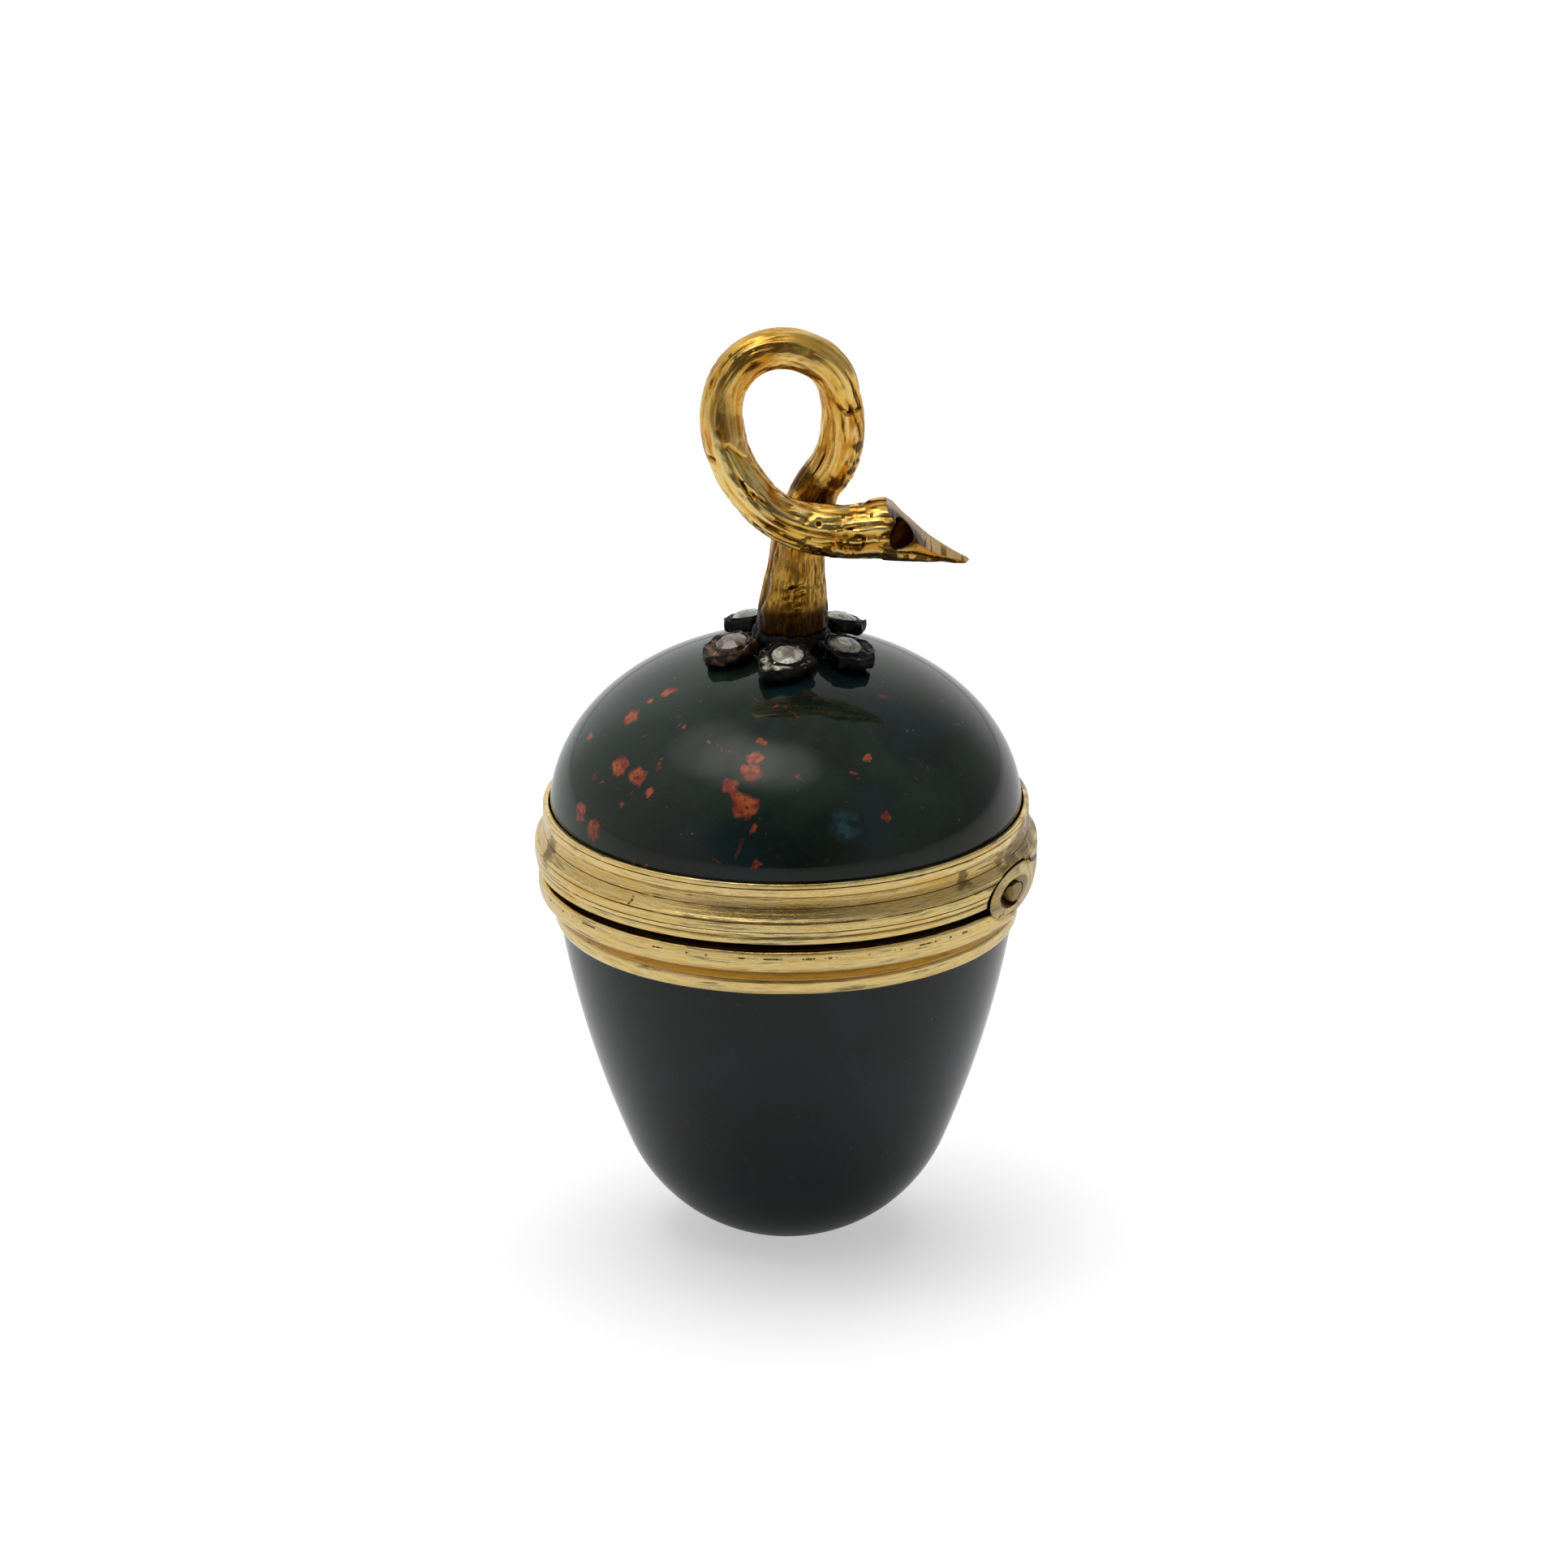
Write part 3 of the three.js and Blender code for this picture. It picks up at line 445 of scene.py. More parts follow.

# %% [markdown]
# ## Gold
# Old gold of this kind is yellow and worn bright on every edge. In the grooves it keeps a brown film, and
# turning leaves fine lines round the mounts. So the colour goes from brown in the recesses to pale on the
# edges, which Pointiness tells apart, and a bump of streaks is noise squeezed flat across the piece. The
# open line between the mounts and the hinge's mouth are painted dark as shade, and the hinge's seam is
# darker. On the twig the streaks have to follow its turns, so they are laid out in coordinates that run
# along it.

# %% Where the mounts are tarnished: x, y, height and size in mm
patina = [(11.3, -6.2, 22.6, 0.9), (12.0, -4.8, 22.6, 1.3), (12.6, -3.2, 22.7, 1.5), (12.9, -1.2, 22.6, 1.7),
          (12.8, 1, 22.6, 1.8), (9.2, -9.0, 22.5, 0.8), (-12.6, -3.6, 22.4, 1.1)]
nick = [(-8.3, -10.3, 21.85, 0.14), (-8.22, -10.3, 22.05, 0.15), (-8.16, -10.25, 22.25, 0.15),
        (-8.15, -10.2, 22.45, 0.12)]


# %% The gold of the mounts
def gilt(name, streak, brown, warm, pale, tarnish, relief, roughness, pits=(), clouds=()):
    """Gold. streak squeezes the pattern along X, Y and Z. pits are small brown spots, clouds torn ones."""
    gold = Finish(name, Metallic=1.0)
    run = gold.scaled(gold.place, streak)
    lines = gold.noise(1.0, 6, 0.72, 0.3, run)
    fine = gold.noise(3.4, 4, 0.7, 0.1, run)
    cloud = gold.noise(0.45, 4, 0.6, 0.4)
    edge = gold.edges()
    crest = edge.between(0.515, 0.57)
    height, from_axis = gold.part(gold.place, "Z"), gold.reach(gold.place, (1, 1, 0))
    worn = lines.between(0.5, 0.66) * cloud.between(0.36, 0.6)
    stain_and_shade = (worn * tarnish).most(edge.between(0.5, 0.46) * 0.95)
    for *spot, size in pits:
        stain_and_shade = stain_and_shade.most(gold.near(gold.place, spot, size) * 0.9)
    torn = gold.torn((3, 3, 2), 1.0, 5, gold.scaled(gold.place, (0.6, 0.6, 2.2)))
    for *spot, size in clouds:
        stain_and_shade = stain_and_shade.most(gold.near(torn, spot, size) * (0.35 + 0.7 * fine))
    # A broken line of pits runs round the cup's bead
    line = height.band(cup_mount_top, -0.44, -0.4, -0.35, -0.31)
    line = line * from_axis.between(bead_radius - 0.57, bead_radius - 0.37)
    broken = gold.noise(1.6, 3, 0.6, 0, gold.scaled(gold.place, (0.7, 0.7, 0.1)))
    stain_and_shade = stain_and_shade.most(line * broken.between(0.52, 0.57))
    # Painted shade: the open line between the mounts is painted dark. The seam round the hinge is darker too
    gap = lid_mount_low - cup_mount_top
    open_line_shade = height.band(cup_mount_top, -0.2, -0.05, gap + 0.1, gap + 0.25)
    open_line_shade = open_line_shade * from_axis.band(bead_radius, -1.97, -1.47, -0.67, -0.42)
    stain_and_shade = stain_and_shade.most(open_line_shade * (0.55 + 0.6 * fine))
    from_hinge = gold.reach(gold.vector("SUBTRACT", gold.place, (hinge_x, 0, hinge_z)), (1, 0, 1))
    seam = from_hinge.band(knuckle_radius, -0.08, -0.01, 0.09, 0.23)
    stain_and_shade = stain_and_shade.most(seam * height.between(cup_mount_top + 0.1, cup_mount_top + 0.5) * 0.95)
    at_hinge = from_hinge.between(knuckle_radius + 0.18, knuckle_radius + 0.03)
    # Painted shade inside the hinge's open mouth, over the pin's end
    mouth_shade = from_hinge.between(0.84, 0.7)
    stain_and_shade = stain_and_shade.most(mouth_shade * 0.7).most(at_hinge * (0.1 + 0.6 * cloud.between(0.35, 0.65)))
    # Painted reflection: the hollows show gold in gold, so they are painted a deeper yellow
    hollow = height.band(cup_mount_low, 0.7, 0.95, 1.4, 1.6)
    hollow = hollow + height.band(lid_mount_low, 1.3, 1.55, 2.25, 2.45) * 0.2
    hollow = hollow * from_axis.between(bead_radius - 1.37, bead_radius - 1.27)
    yellow = cloud.between(0.3, 0.7) * 0.35 + lines.between(0.36, 0.6) * 0.65
    colour = gold.mix(yellow, warm, pale)
    colour = gold.mix(hollow, colour, "b8842c")
    colour = gold.mix(fine.between(0.5, 0.68) * 0.4, colour, "8a6a30")
    colour = gold.mix(crest * (0.9 - 0.6 * at_hinge), colour, "fbe3a6")
    colour = gold.mix(stain_and_shade, colour, brown)
    gloss = roughness + 0.1 * fine.between(0.4, 0.7) + 0.3 * stain_and_shade - 0.05 * crest
    gold.set(Base_Color=colour, Roughness=gloss)
    gold.bump(lines * 0.65 + fine * 0.35, 1.0, relief)
    return gold.material


mount_gold = gilt("mount_gold", (0.2, 0.2, 5.0), "4a3010", "e0b65c", "fbe4a2", 0.8, 0.04, 0.1, nick, patina)
inner_gold = gilt("inner_gold", (0.5, 0.5, 5.0), "4a3212", "c79b54", "e6c586", 0.4, 0.01, 0.2)
print("pits and clouds of tarnish:", len(nick) + len(patina))


# %% The gold of the twig
def bark_gold(name, brown, warm, pale, pith, spots):
    """Gold whose grain runs along the twig. Two layers of coordinates tell it where on the bark a point lies:
    ring, the place round the twig, and run, the length along it and how far the bark is raised. Both are 0
    where the twig has been cut. The hollow of the pith and the spots are brown."""
    gold = Finish(name, Metallic=1.0)
    ring, run = (gold.node("UVMap", {"uv_map": layer}) for layer in ("ring", "run"))
    round_x, round_y, length, lift = (gold.part(layer, axis) for layer in (ring, run) for axis in ("X", "Y"))
    bark = gold.vector("LENGTH", ring).between(0.3, 0.7)
    grain = gold.node("CombineXYZ", {}, {"X": round_x * 1.4, "Y": round_y * 1.4, "Z": length * 0.16})
    grain = gold.mix(bark, gold.place, grain)
    fibre = gold.noise(3.2, 5, 0.65, 0.2, grain)
    fine = gold.noise(9, 4, 0.7, 0.1, grain)
    above = gold.part(gold.place, "Z") - calyx_top
    # The stalk is darker towards its foot, and nearly black just above the calyx
    foot = above.between(7.25, 2.75)
    stain_and_shade = (lift.between(-0.02, -0.08) * 0.9).most(fibre.between(0.56, 0.68) * (0.3 + 0.5 * foot))
    stain_and_shade = stain_and_shade.most(foot * (0.3 + 0.5 * fine.between(0.4, 0.62)))
    stain_and_shade = stain_and_shade.most(above.between(2.15, 0.95) * (0.75 + 0.4 * fine))
    torn = gold.torn((1.2, 1.2, 1.2), 2.0, 4)
    for *spot, size in spots:
        stain_and_shade = stain_and_shade.most(gold.near(torn, spot, size, 0.6) * (0.5 + 0.8 * fine))
    stain_and_shade = stain_and_shade.most((1 - bark) * gold.vector("DISTANCE", gold.place, pith).between(1.9, 1.2))
    colour = gold.mix(gold.noise(0.5, 4, 0.6, 0.4).between(0.3, 0.7), warm, pale)
    # Painted highlight: the raised bark away from the foot is painted pale, for wear and for the bright
    # reflections on its ridges
    colour = gold.mix(lift.between(0.0, 0.06) * (1 - foot) * 0.8, colour, "ffe598")
    colour = gold.mix(1 - bark, colour, "c09a50")
    colour = gold.mix(stain_and_shade, colour, brown)
    colour = gold.mix(above.between(1.95, 0.65) * (0.5 + 0.6 * fine), colour, "1d1208")
    gold.set(Base_Color=colour, Roughness=0.13 + 0.12 * fine.between(0.4, 0.7) + 0.25 * stain_and_shade)
    gold.bump(fibre * 0.6 + fine * 0.4, 1.0, 0.03)
    return gold.material


pith = (6.3, -3.45, 40.35)
# The spots at heights 41.9 and 41.1, where the loop passes behind the front strand, are painted shade; the
# others are brown spots on the bark
dark_spots = [
    (6.2, -3.5, 40.3, 1.25), (5.5, -4.2, 39.4, 0.55), (1.1, 0.0, 41.9, 1.3), (1.7, -0.9, 41.1, 1.25),
    (2.7, -0.6, 42.1, 0.8), (3.4, -0.5, 43.0, 0.6), (3.9, -0.6, 44.1, 0.55), (5.6, -3.9, 39.0, 0.45),
    (6.4, -3.8, 38.75, 0.5), (7.2, -3.5, 38.6, 0.5), (8.0, -3.2, 38.5, 0.4),
]
twig_gold = bark_gold("twig_gold", "4a2505", "cb8626", "f8c85e", pith, dark_spots)
print("dark spots on the twig:", len(dark_spots))

# %% [markdown]
# ## Blackened silver, rose-cut stones and sponge
# The leaves are silver that has gone nearly black. Only rubbed edges are bright, so Pointiness picks them
# out. The stones are pale crystal cut with a flat back and closed in from behind, which makes them look
# milky more than clear: a cloudy, glossy surface shows that better than glass would. The sponge is dry.

# %% Their finishes
def black_silver(name, deep, light, rubbed, rust=0.0, bright=()):
    """Blackened silver. rubbed is how bright its edges are and rust how brown it is. In the places in bright,
    x, y, height and size in mm, it is rubbed more."""
    silver = Finish(name, Metallic=0.85)
    cloud = silver.noise(1.1, 5, 0.65, 0.5)
    colour = silver.mix(cloud.between(0.35, 0.75), deep, light)
    colour = silver.mix(silver.noise(0.9, 4, 0.6, 0.8).between(0.45, 0.62) * rust, colour, "7d5f4b")
    edge = silver.edges()
    crest = edge.between(0.53, 0.62) * cloud.between(0.4, 0.6)
    colour = silver.mix(crest * rubbed, colour, "b9b3a8")
    for *spot, size in bright:
        worn = edge.between(0.505, 0.54) * silver.near(silver.place, spot, size, 0.7)
        worn = worn * cloud.between(0.25, 0.4)
        colour = silver.mix(worn, colour, "d8d0c0")
    silver.set(Base_Color=colour, Roughness=0.3 + 0.3 * cloud.between(0.3, 0.7) - 0.12 * crest)
    silver.bump(silver.noise(2.4, 5, 0.7), 0.8, 0.06)
    return silver.material


def rose_cut(name, shade, light):
    stone = Finish(name, Specular_IOR_Level=0.9, IOR=1.6)
    cloud = stone.noise(1.6, 4, 0.6, 0.6)
    colour = stone.mix(cloud.between(0.38, 0.62), shade, light)
    stone.set(Base_Color=colour, Roughness=0.06 + 0.1 * cloud.between(0.4, 0.8))
    stone.bump(stone.noise(3, 2), 0.3, 0.02)
    return stone.material


def dry_sponge(name):
    sponge = Finish(name)
    pores = sponge.noise(1.3, 6, 0.75, 0.6)
    colour = sponge.mix(pores.between(0.38, 0.62), "8a6c3a", "cdb27a")
    sponge.set(Base_Color=colour, Roughness=0.85 + 0.1 * pores)
    sponge.bump(pores, 1.0, 0.5)
    return sponge.material


leaf_silver = black_silver("leaf_silver", "121110", "2c2927", 0.5)
brown_silver = black_silver("brown_silver", "1d1814", "4a3c33", 0.6, 0.8)
pale_stone = rose_cut("rose_cut_stone", "7d796c", "cfcabb")
grey_stone = rose_cut("grey_stone", "4c4f47", "94978a")
brown_stone = rose_cut("stained_stone", "33271f", "6d5a4b")
sponge_finish = dry_sponge("dry_sponge")
print("finishes:", len(bpy.data.materials))

# %% [markdown]
# ## The cup
# The cup is one stone, ground round outside and hollowed inside. A flat as small as a pea is ground under
# it, so that it stands. Its side is a long arc that leans over into a nearly round bottom. The outline runs
# up the outside, over the rim that the mount hides, and down the inside.

# %% Turn the cup
foot_radius, bottom_radius, side_radius, side_lean = 2.6, 9.15, 54.0, 23.3
shoulder_height, shoulder_width, wall = 17.3, 0.55, 2.0
bottom_centre = math.sqrt(bottom_radius ** 2 - foot_radius ** 2)
lean = math.radians(side_lean)
to_side = bottom_radius - side_radius
side_centre = (to_side * math.cos(lean), bottom_centre - to_side * math.sin(lean))
shoulder_angle = math.degrees(math.asin((shoulder_height - side_centre[1]) / side_radius))
mouth_low = bezel_low - seat_gap
mouth_angle = math.degrees(math.asin((mouth_low - side_centre[1]) / (side_radius - wall)))
foot_angle = math.degrees(math.acos(foot_radius / bottom_radius))
inner_side = side_radius - wall

cup_outline = [(0, 0), (foot_radius - 0.15, 0)]
cup_outline += arc((0, bottom_centre), (bottom_radius,) * 2, -foot_angle, -side_lean, 30)
cup_outline += arc(side_centre, (side_radius,) * 2, -side_lean, shoulder_angle, 30)[1:]
neck = cup_outline[-1][0] - shoulder_width
cup_outline += [(neck, shoulder_height), (neck, cup_rim)]
cup_outline += arc(side_centre, (inner_side,) * 2, mouth_angle, -side_lean, 20)
cup_outline.insert(-21, (cup_outline[-21][0], cup_rim))
cup_outline += arc((0, bottom_centre), (bottom_radius - wall,) * 2, -side_lean, -90, 20)[1:]
cup = turned("acorn_cup", cup_outline)
smooth(cup, 40)
dress(cup, cup_stone, "cup", "bloodstone", "cup_stone")

# %% [markdown]
# ## The dome
# The lid's dome is a flattened half egg with a step ground round its edge, where the mount holds it. A hole
# in its top takes the handle's shank.

# %% Turn the dome and drill it
dome_step, dome_wall, dome_sink = 0.46, 2.2, 0.45
dome_equator = lid_mount_top - dome_sink
dome_rise = dome_top - dome_equator
shank_radius = 0.75
dome_foot = low("lid_stone", Z)
dome_outline = [(dome_radius - dome_wall, dome_foot), (dome_radius - dome_step, dome_foot),
                (dome_radius - dome_step, dome_equator)]
dome_outline += arc((0, dome_equator), (dome_radius, dome_rise), 0, 90, 64)
dome_outline += arc((0, dome_equator), (dome_radius - dome_wall, dome_rise - dome_wall), 90, 0, 40)
dome = turned("dome", dome_outline)
cut(dome, post(shank_radius + seat_gap, dome_top - dome_rise / 2, dome_top + dome_rise / 2))
smooth(dome, 40)
dress(dome, dome_stone, "lid", "bloodstone", "lid_stone")

# %% [markdown]
# ## The mounts
# Both mounts are bands of mouldings: the cup's has a lip, a hollow and a bead, the lid's a fillet, a bead,
# a hollow and a lip. The fine lines between them are turned in. Small dents in the bands are what tells
# handwork from a machine's, so a soft displacement goes over them before the hinge is let in. The lid's
# band reaches a little lower than the frame's, because old mounts have settled on each other.

# %% Outline of the cup's mount
mount_inner = neck + seat_gap
flange_inner = bezel_radius + seat_gap
rim_seat = cup_rim + seat_gap
cup_lip, cup_hollow, cup_bead = bead_radius - 1.15, bead_radius - 0.72, bead_radius - 0.2
lip_top, hollow_top = cup_mount_low + 0.8, cup_mount_low + 1.44
bead_middle = (hollow_top + cup_mount_top) / 2 + 0.1
cup_band = [(mount_inner, cup_mount_low), (cup_lip - 0.05, cup_mount_low),
            (cup_lip + 0.06, cup_mount_low + 0.22), (cup_lip + 0.1, lip_top - 0.12), (cup_lip, lip_top)]
cup_band += bow((cup_lip, lip_top), (cup_lip + 0.1, hollow_top), (cup_hollow, hollow_top))
cup_band += bow((cup_hollow, hollow_top), (cup_bead, hollow_top), (cup_bead, bead_middle))
cup_band += [(cup_bead, bead_middle + 0.06), (cup_bead, bead_middle + 0.34)]
cup_band += bow((cup_bead, bead_middle + 0.34), (cup_bead, cup_mount_top), (cup_bead - 0.2, cup_mount_top), 5)
cup_band += [(flange_inner, cup_mount_top), (flange_inner, rim_seat), (mount_inner, rim_seat)]
cup_band = soften(cup_band, 0.06)
print("points in the cup mount's outline:", len(cup_band))

# %% Outline of the lid's mount
dome_neck = dome_radius - dome_step
lip_inner = dome_radius + seat_gap
lid_lip = lip_inner + 0.3
fillet = bead_radius - 0.18
bead_low, bead_top = lid_mount_low + 0.3, lid_mount_low + 1.25
lip_low = lid_mount_top - 0.82
hollow = bead_radius - 0.55
lid_edge = lid_mount_low - 0.1
lid_band = [(dome_neck + seat_gap, lid_edge), (fillet, lid_edge)]
lid_band += bow((fillet, lid_edge), (fillet + 0.1, lid_edge), (fillet + 0.1, bead_low - 0.08), 4)
lid_band += [(fillet + 0.04, bead_low)]
bead_foot, bead_swell = (fillet + 0.09, bead_low + 0.03), (bead_radius, bead_low + 0.1)
lid_band += bow(bead_foot, bead_swell, (bead_radius, bead_low + 0.4), 6)
lid_band += bow((bead_radius, bead_low + 0.5), (bead_radius, bead_top), (bead_radius - 0.1, bead_top), 6)
lid_band += [(bead_radius - 0.2, bead_top + 0.05)]
hollow_from, hollow_pull = (bead_radius - 0.2, bead_top + 0.1), (hollow, (bead_top + lip_low) / 2)
lid_band += bow(hollow_from, hollow_pull, (hollow, lip_low - 0.1), 10)
lid_band += [(lid_lip - 0.12, lip_low), (lid_lip, lip_low + 0.1), (lid_lip, lid_mount_top - 0.15)]
lid_band += bow((lid_lip, lid_mount_top - 0.15), (lid_lip, lid_mount_top), (lid_lip - 0.12, lid_mount_top), 5)
lid_band += [(lip_inner, lid_mount_top), (lip_inner, dome_equator - seat_gap)]
lid_band = soften(lid_band + [(dome_neck + seat_gap, dome_equator - seat_gap)], 0.05)
for height, depth in ((lid_mount_top - 0.3, 0.045), (lid_mount_top - 1.4, 0.03), (bead_top - 0.14, 0.05),
                      (bead_low + 0.3, 0.03)):
    lid_band = grooved(lid_band, height, 0.08, depth)
print("points in the lid mount's outline:", len(lid_band))

# %% Turn both mounts and let the hinge in
turn_gap, end_gap, swing_relief = 0.12, 0.1, 0.55
notch = knuckle_radius + turn_gap
split = lid_knuckle_half + end_gap / 2
hinge_end = high("hinge_knuckle_back", Y) + 1.5


def notches(at_lid, at_cup):
    """Three bars that clear the lid's knuckle and the two of the cup."""
    return [bar(at_lid, -split, split), bar(at_cup, split, hinge_end), bar(at_cup, -hinge_end, -split)]


cup_mount = turned("cup_mount_band", cup_band, 256)
dent(cup_mount, 0.04, 3.5)
relief = bar(notch + swing_relief, -hinge_end, hinge_end)
clear()
bpy.ops.mesh.primitive_cube_add(size=1, location=Vector((hinge_x + 5, 0, hinge_z - 5)) * mm,
                                scale=Vector((10, 40, 10)) * mm)
cut(relief, settled(), operation="INTERSECT")
cut(cup_mount, *notches(notch, knuckle_radius - 0.1), relief)
smooth(cup_mount)
dress(cup_mount, mount_gold, "cup", "gold", "cup_mount")

lid_mount = turned("lid_mount_band", lid_band, 256)
dent(lid_mount, 0.04, 3.5)
cut(lid_mount, *notches(knuckle_radius - 0.1, notch + 0.05))
smooth(lid_mount)
dress(lid_mount, mount_gold, "lid", "gold", "lid_mount")

# %% [markdown]
# ## Bezel and liner
# The bezel is the plain collar that the lid shuts over, and the liner closes the dome's edge from inside.
# Both are thin rings, softened at their rims and notched for the knuckles.

# %% Turn them
bezel_wall = 0.45
bezel_inner = bezel_radius - bezel_wall
bezel_outline = [(bezel_inner, bezel_low), (bezel_radius, bezel_low),
                 (bezel_radius, bezel_top), (bezel_inner, bezel_top)]
bezel = turned("bezel", soften(bezel_outline, 0.12))
dent(bezel, 0.03, 4)
smooth(bezel)
dress(bezel, inner_gold, "cup", "gold", "cup_bezel")

liner_low, liner_top = low("lid_liner", Z), high("lid_liner", Z)
liner_inner, sleeve = bezel_radius + 0.1, dome_radius - dome_wall - seat_gap
flange_top = dome_foot - seat_gap
liner_outline = [(liner_inner, liner_low), (dome_neck, liner_low), (dome_neck, flange_top),
                 (sleeve, flange_top), (sleeve, liner_top), (liner_inner, liner_top)]
liner = turned("lid_liner_ring", soften(liner_outline, 0.1))
cut(liner, *notches(knuckle_radius + seat_gap, notch))
smooth(liner)
dress(liner, inner_gold, "lid", "gold", "lid_liner")

# %% [markdown]
# ## The hinge
# Three tubes lie in the mouldings, filed to the same curve, so that the shut hinge is nearly flush. That
# curve is a turned form too: each tube is cut out of it. The pin's end shows in the open mouth in front.

# %% File the knuckles out of tube
barrel_round, barrel_inset = 3.6, 0.04
pin_radius, pin_length, mouth_radius, mouth_depth = 0.45, high("hinge_pin", Y) * 2, 0.72, 1.5


def filed():
    """The curve that the tubes are filed to, as a turned form."""
    centre = bead_radius - barrel_inset - barrel_round
    half = knuckle_radius + 0.12
    reach = math.degrees(math.asin(half / barrel_round))
    curve = arc((centre, hinge_z), (barrel_round,) * 2, -reach, reach, 16)
    return turned("filed_curve", [(0, hinge_z - half)] + curve + [(0, hinge_z + half)])


def knuckle(name, y_from, y_to):
    tube = bar(knuckle_radius, y_from, y_to)
    tube.name = tube.data.name = name
    cut(tube, filed(), operation="INTERSECT")
    cut(tube, bar(pin_radius + seat_gap, -hinge_end - 1, hinge_end + 1, sides=48))
    return tube


lid_knuckle = knuckle("lid_knuckle", -lid_knuckle_half, lid_knuckle_half)
front_knuckle = knuckle("front_knuckle", -hinge_end, -lid_knuckle_half - end_gap)
back_knuckle = knuckle("back_knuckle", lid_knuckle_half + end_gap, hinge_end)
mouth_from = pin_length / 2 + seat_gap - mouth_depth / 2
cut(front_knuckle, bar(mouth_radius, -hinge_end - 1, -mouth_from, sides=48))
cut(back_knuckle, bar(mouth_radius, mouth_from, hinge_end + 1, sides=48))
pin = bar(pin_radius, -pin_length / 2, pin_length / 2, sides=48)
pin.name = pin.data.name = "pin"
cut(pin, filed(), operation="INTERSECT")
for piece, body, node in ((lid_knuckle, "lid", "hinge_knuckle_lid"),
                          (front_knuckle, "cup", "hinge_knuckle_front"),
                          (back_knuckle, "cup", "hinge_knuckle_back"), (pin, "cup", "hinge_pin")):
    modify(piece, "BEVEL", width=0.05 * mm, segments=2, limit_method="ANGLE", angle_limit=math.radians(40))
    smooth(piece)
    dress(piece, mount_gold, body, "gold", node)

# %% [markdown]
# ## The twig
# The handle is a twig cast in gold. It rises from the calyx, turns once over itself and ends in a slanting
# cut. A curve with a thickness at each point gives its run. Its bark is then worked into the mesh: every
# point of the skin is moved in or out by noise that is stretched along the twig, as bark is.

# %% The twig's run: x, y and height above the calyx, and its radius, in mm
twig_run = [
    (0, 0, -0.6, 1.9), (0.02, 0, 0.3, 1.84), (0.14, 0, 1.7, 1.7), (0.28, 0.02, 3.3, 1.5),
    (0.5, 0.1, 5.1, 1.38), (1.3, 0.16, 7.4, 1.22), (2.4, 0.1, 9.3, 1.16), (2.76, -0.02, 11, 1.1),
    (2.68, -0.2, 12.8, 1.02), (2, -0.4, 14.6, 1.06), (0.8, -0.55, 15.5, 1.08), (-0.43, -0.7, 15.8, 1.08),
    (-1.8, -0.88, 15.52, 1.1), (-2.96, -1.08, 14.55, 1.12), (-3.54, -1.3, 13.15, 1.12),
    (-3.58, -1.55, 11.65, 1.18), (-3.18, -1.82, 10.05, 1.15), (-2.24, -2.12, 8.45, 1.18),
    (-0.95, -2.4, 7.2, 1.21), (0.56, -2.52, 6.5, 1.3), (2.1, -2.55, 6.24, 1.4), (3.2, -2.55, 6.14, 1.42),
    (4.1, -2.55, 6.22, 1.5), (4.9, -2.55, 6.33, 1.62), (5.6, -2.55, 6.2, 1.56), (6.5, -2.55, 5.94, 1.35),
    (7.2, -2.55, 5.7, 1.15), (8.1, -2.55, 5.33, 0.85), (8.9, -2.55, 4.9, 0.5), (9.35, -2.55, 4.76, 0.32),
    (9.5, -2.55, 4.72, 0.12),
]
clear()
bpy.ops.curve.primitive_bezier_curve_add()
twig = named("twig")
run = twig.data.splines[0]
run.bezier_points.add(len(twig_run) - 2)
for point, (x, y, z, radius) in zip(run.bezier_points, twig_run):
    point.co = Vector((finial_x + x, y, calyx_top + z)) * mm
    point.handle_left_type = point.handle_right_type = "AUTO"
    point.radius = radius
run.radius_interpolation = "CARDINAL"
run.resolution_u = steps_between = 16
twig.data.dimensions = "3D"
twig.data.bevel_depth, twig.data.bevel_resolution, twig.data.use_fill_caps = 1 * mm, 62, True
bpy.ops.object.convert(target="MESH")
twig = bpy.context.object
print("twig skin: %d points" % len(twig.data.vertices))

# %% Find the rings of the skin, and how far along the twig each one lies
rings = (len(twig_run) - 1) * steps_between + 1
around = len(twig.data.vertices) // rings
centres = []
for ring in range(rings):
    corners = [twig.data.vertices[ring * around + i].co for i in range(around)]
    centres.append(sum(corners, Vector()) / around)
along = [0.0]
for before, after in zip(centres, centres[1:]):
    along.append(along[-1] + (after - before).length / mm)
print("rings:", rings, "points round each:", around, "length: %.1f mm" % along[-1])

# %% [markdown]
# The bark has four layers: broad facets, long grooves that fade in and out, finer ones between them, and a
# grain. It is deep on the stalk and where the strands run together at the crossing, and shallow on the left
# of the loop, which fingers have worn. Knots, nicks and the cuts of the maker's graver are placed singly.

# %% The marks of the graver, and how deep the bark is
def mark(spot, start, end, size):
    """1 on the line from start to end, falling softly to 0 at size beside it, in mm."""
    start, along_it = Vector(start), Vector(end) - Vector(start)
    share = max(0.0, min(1.0, (spot - start).dot(along_it) / max(along_it.length_squared, 1e-9)))
    away = (spot - start - along_it * share).length / size
    return max(0.0, 1 - away * away) ** 2


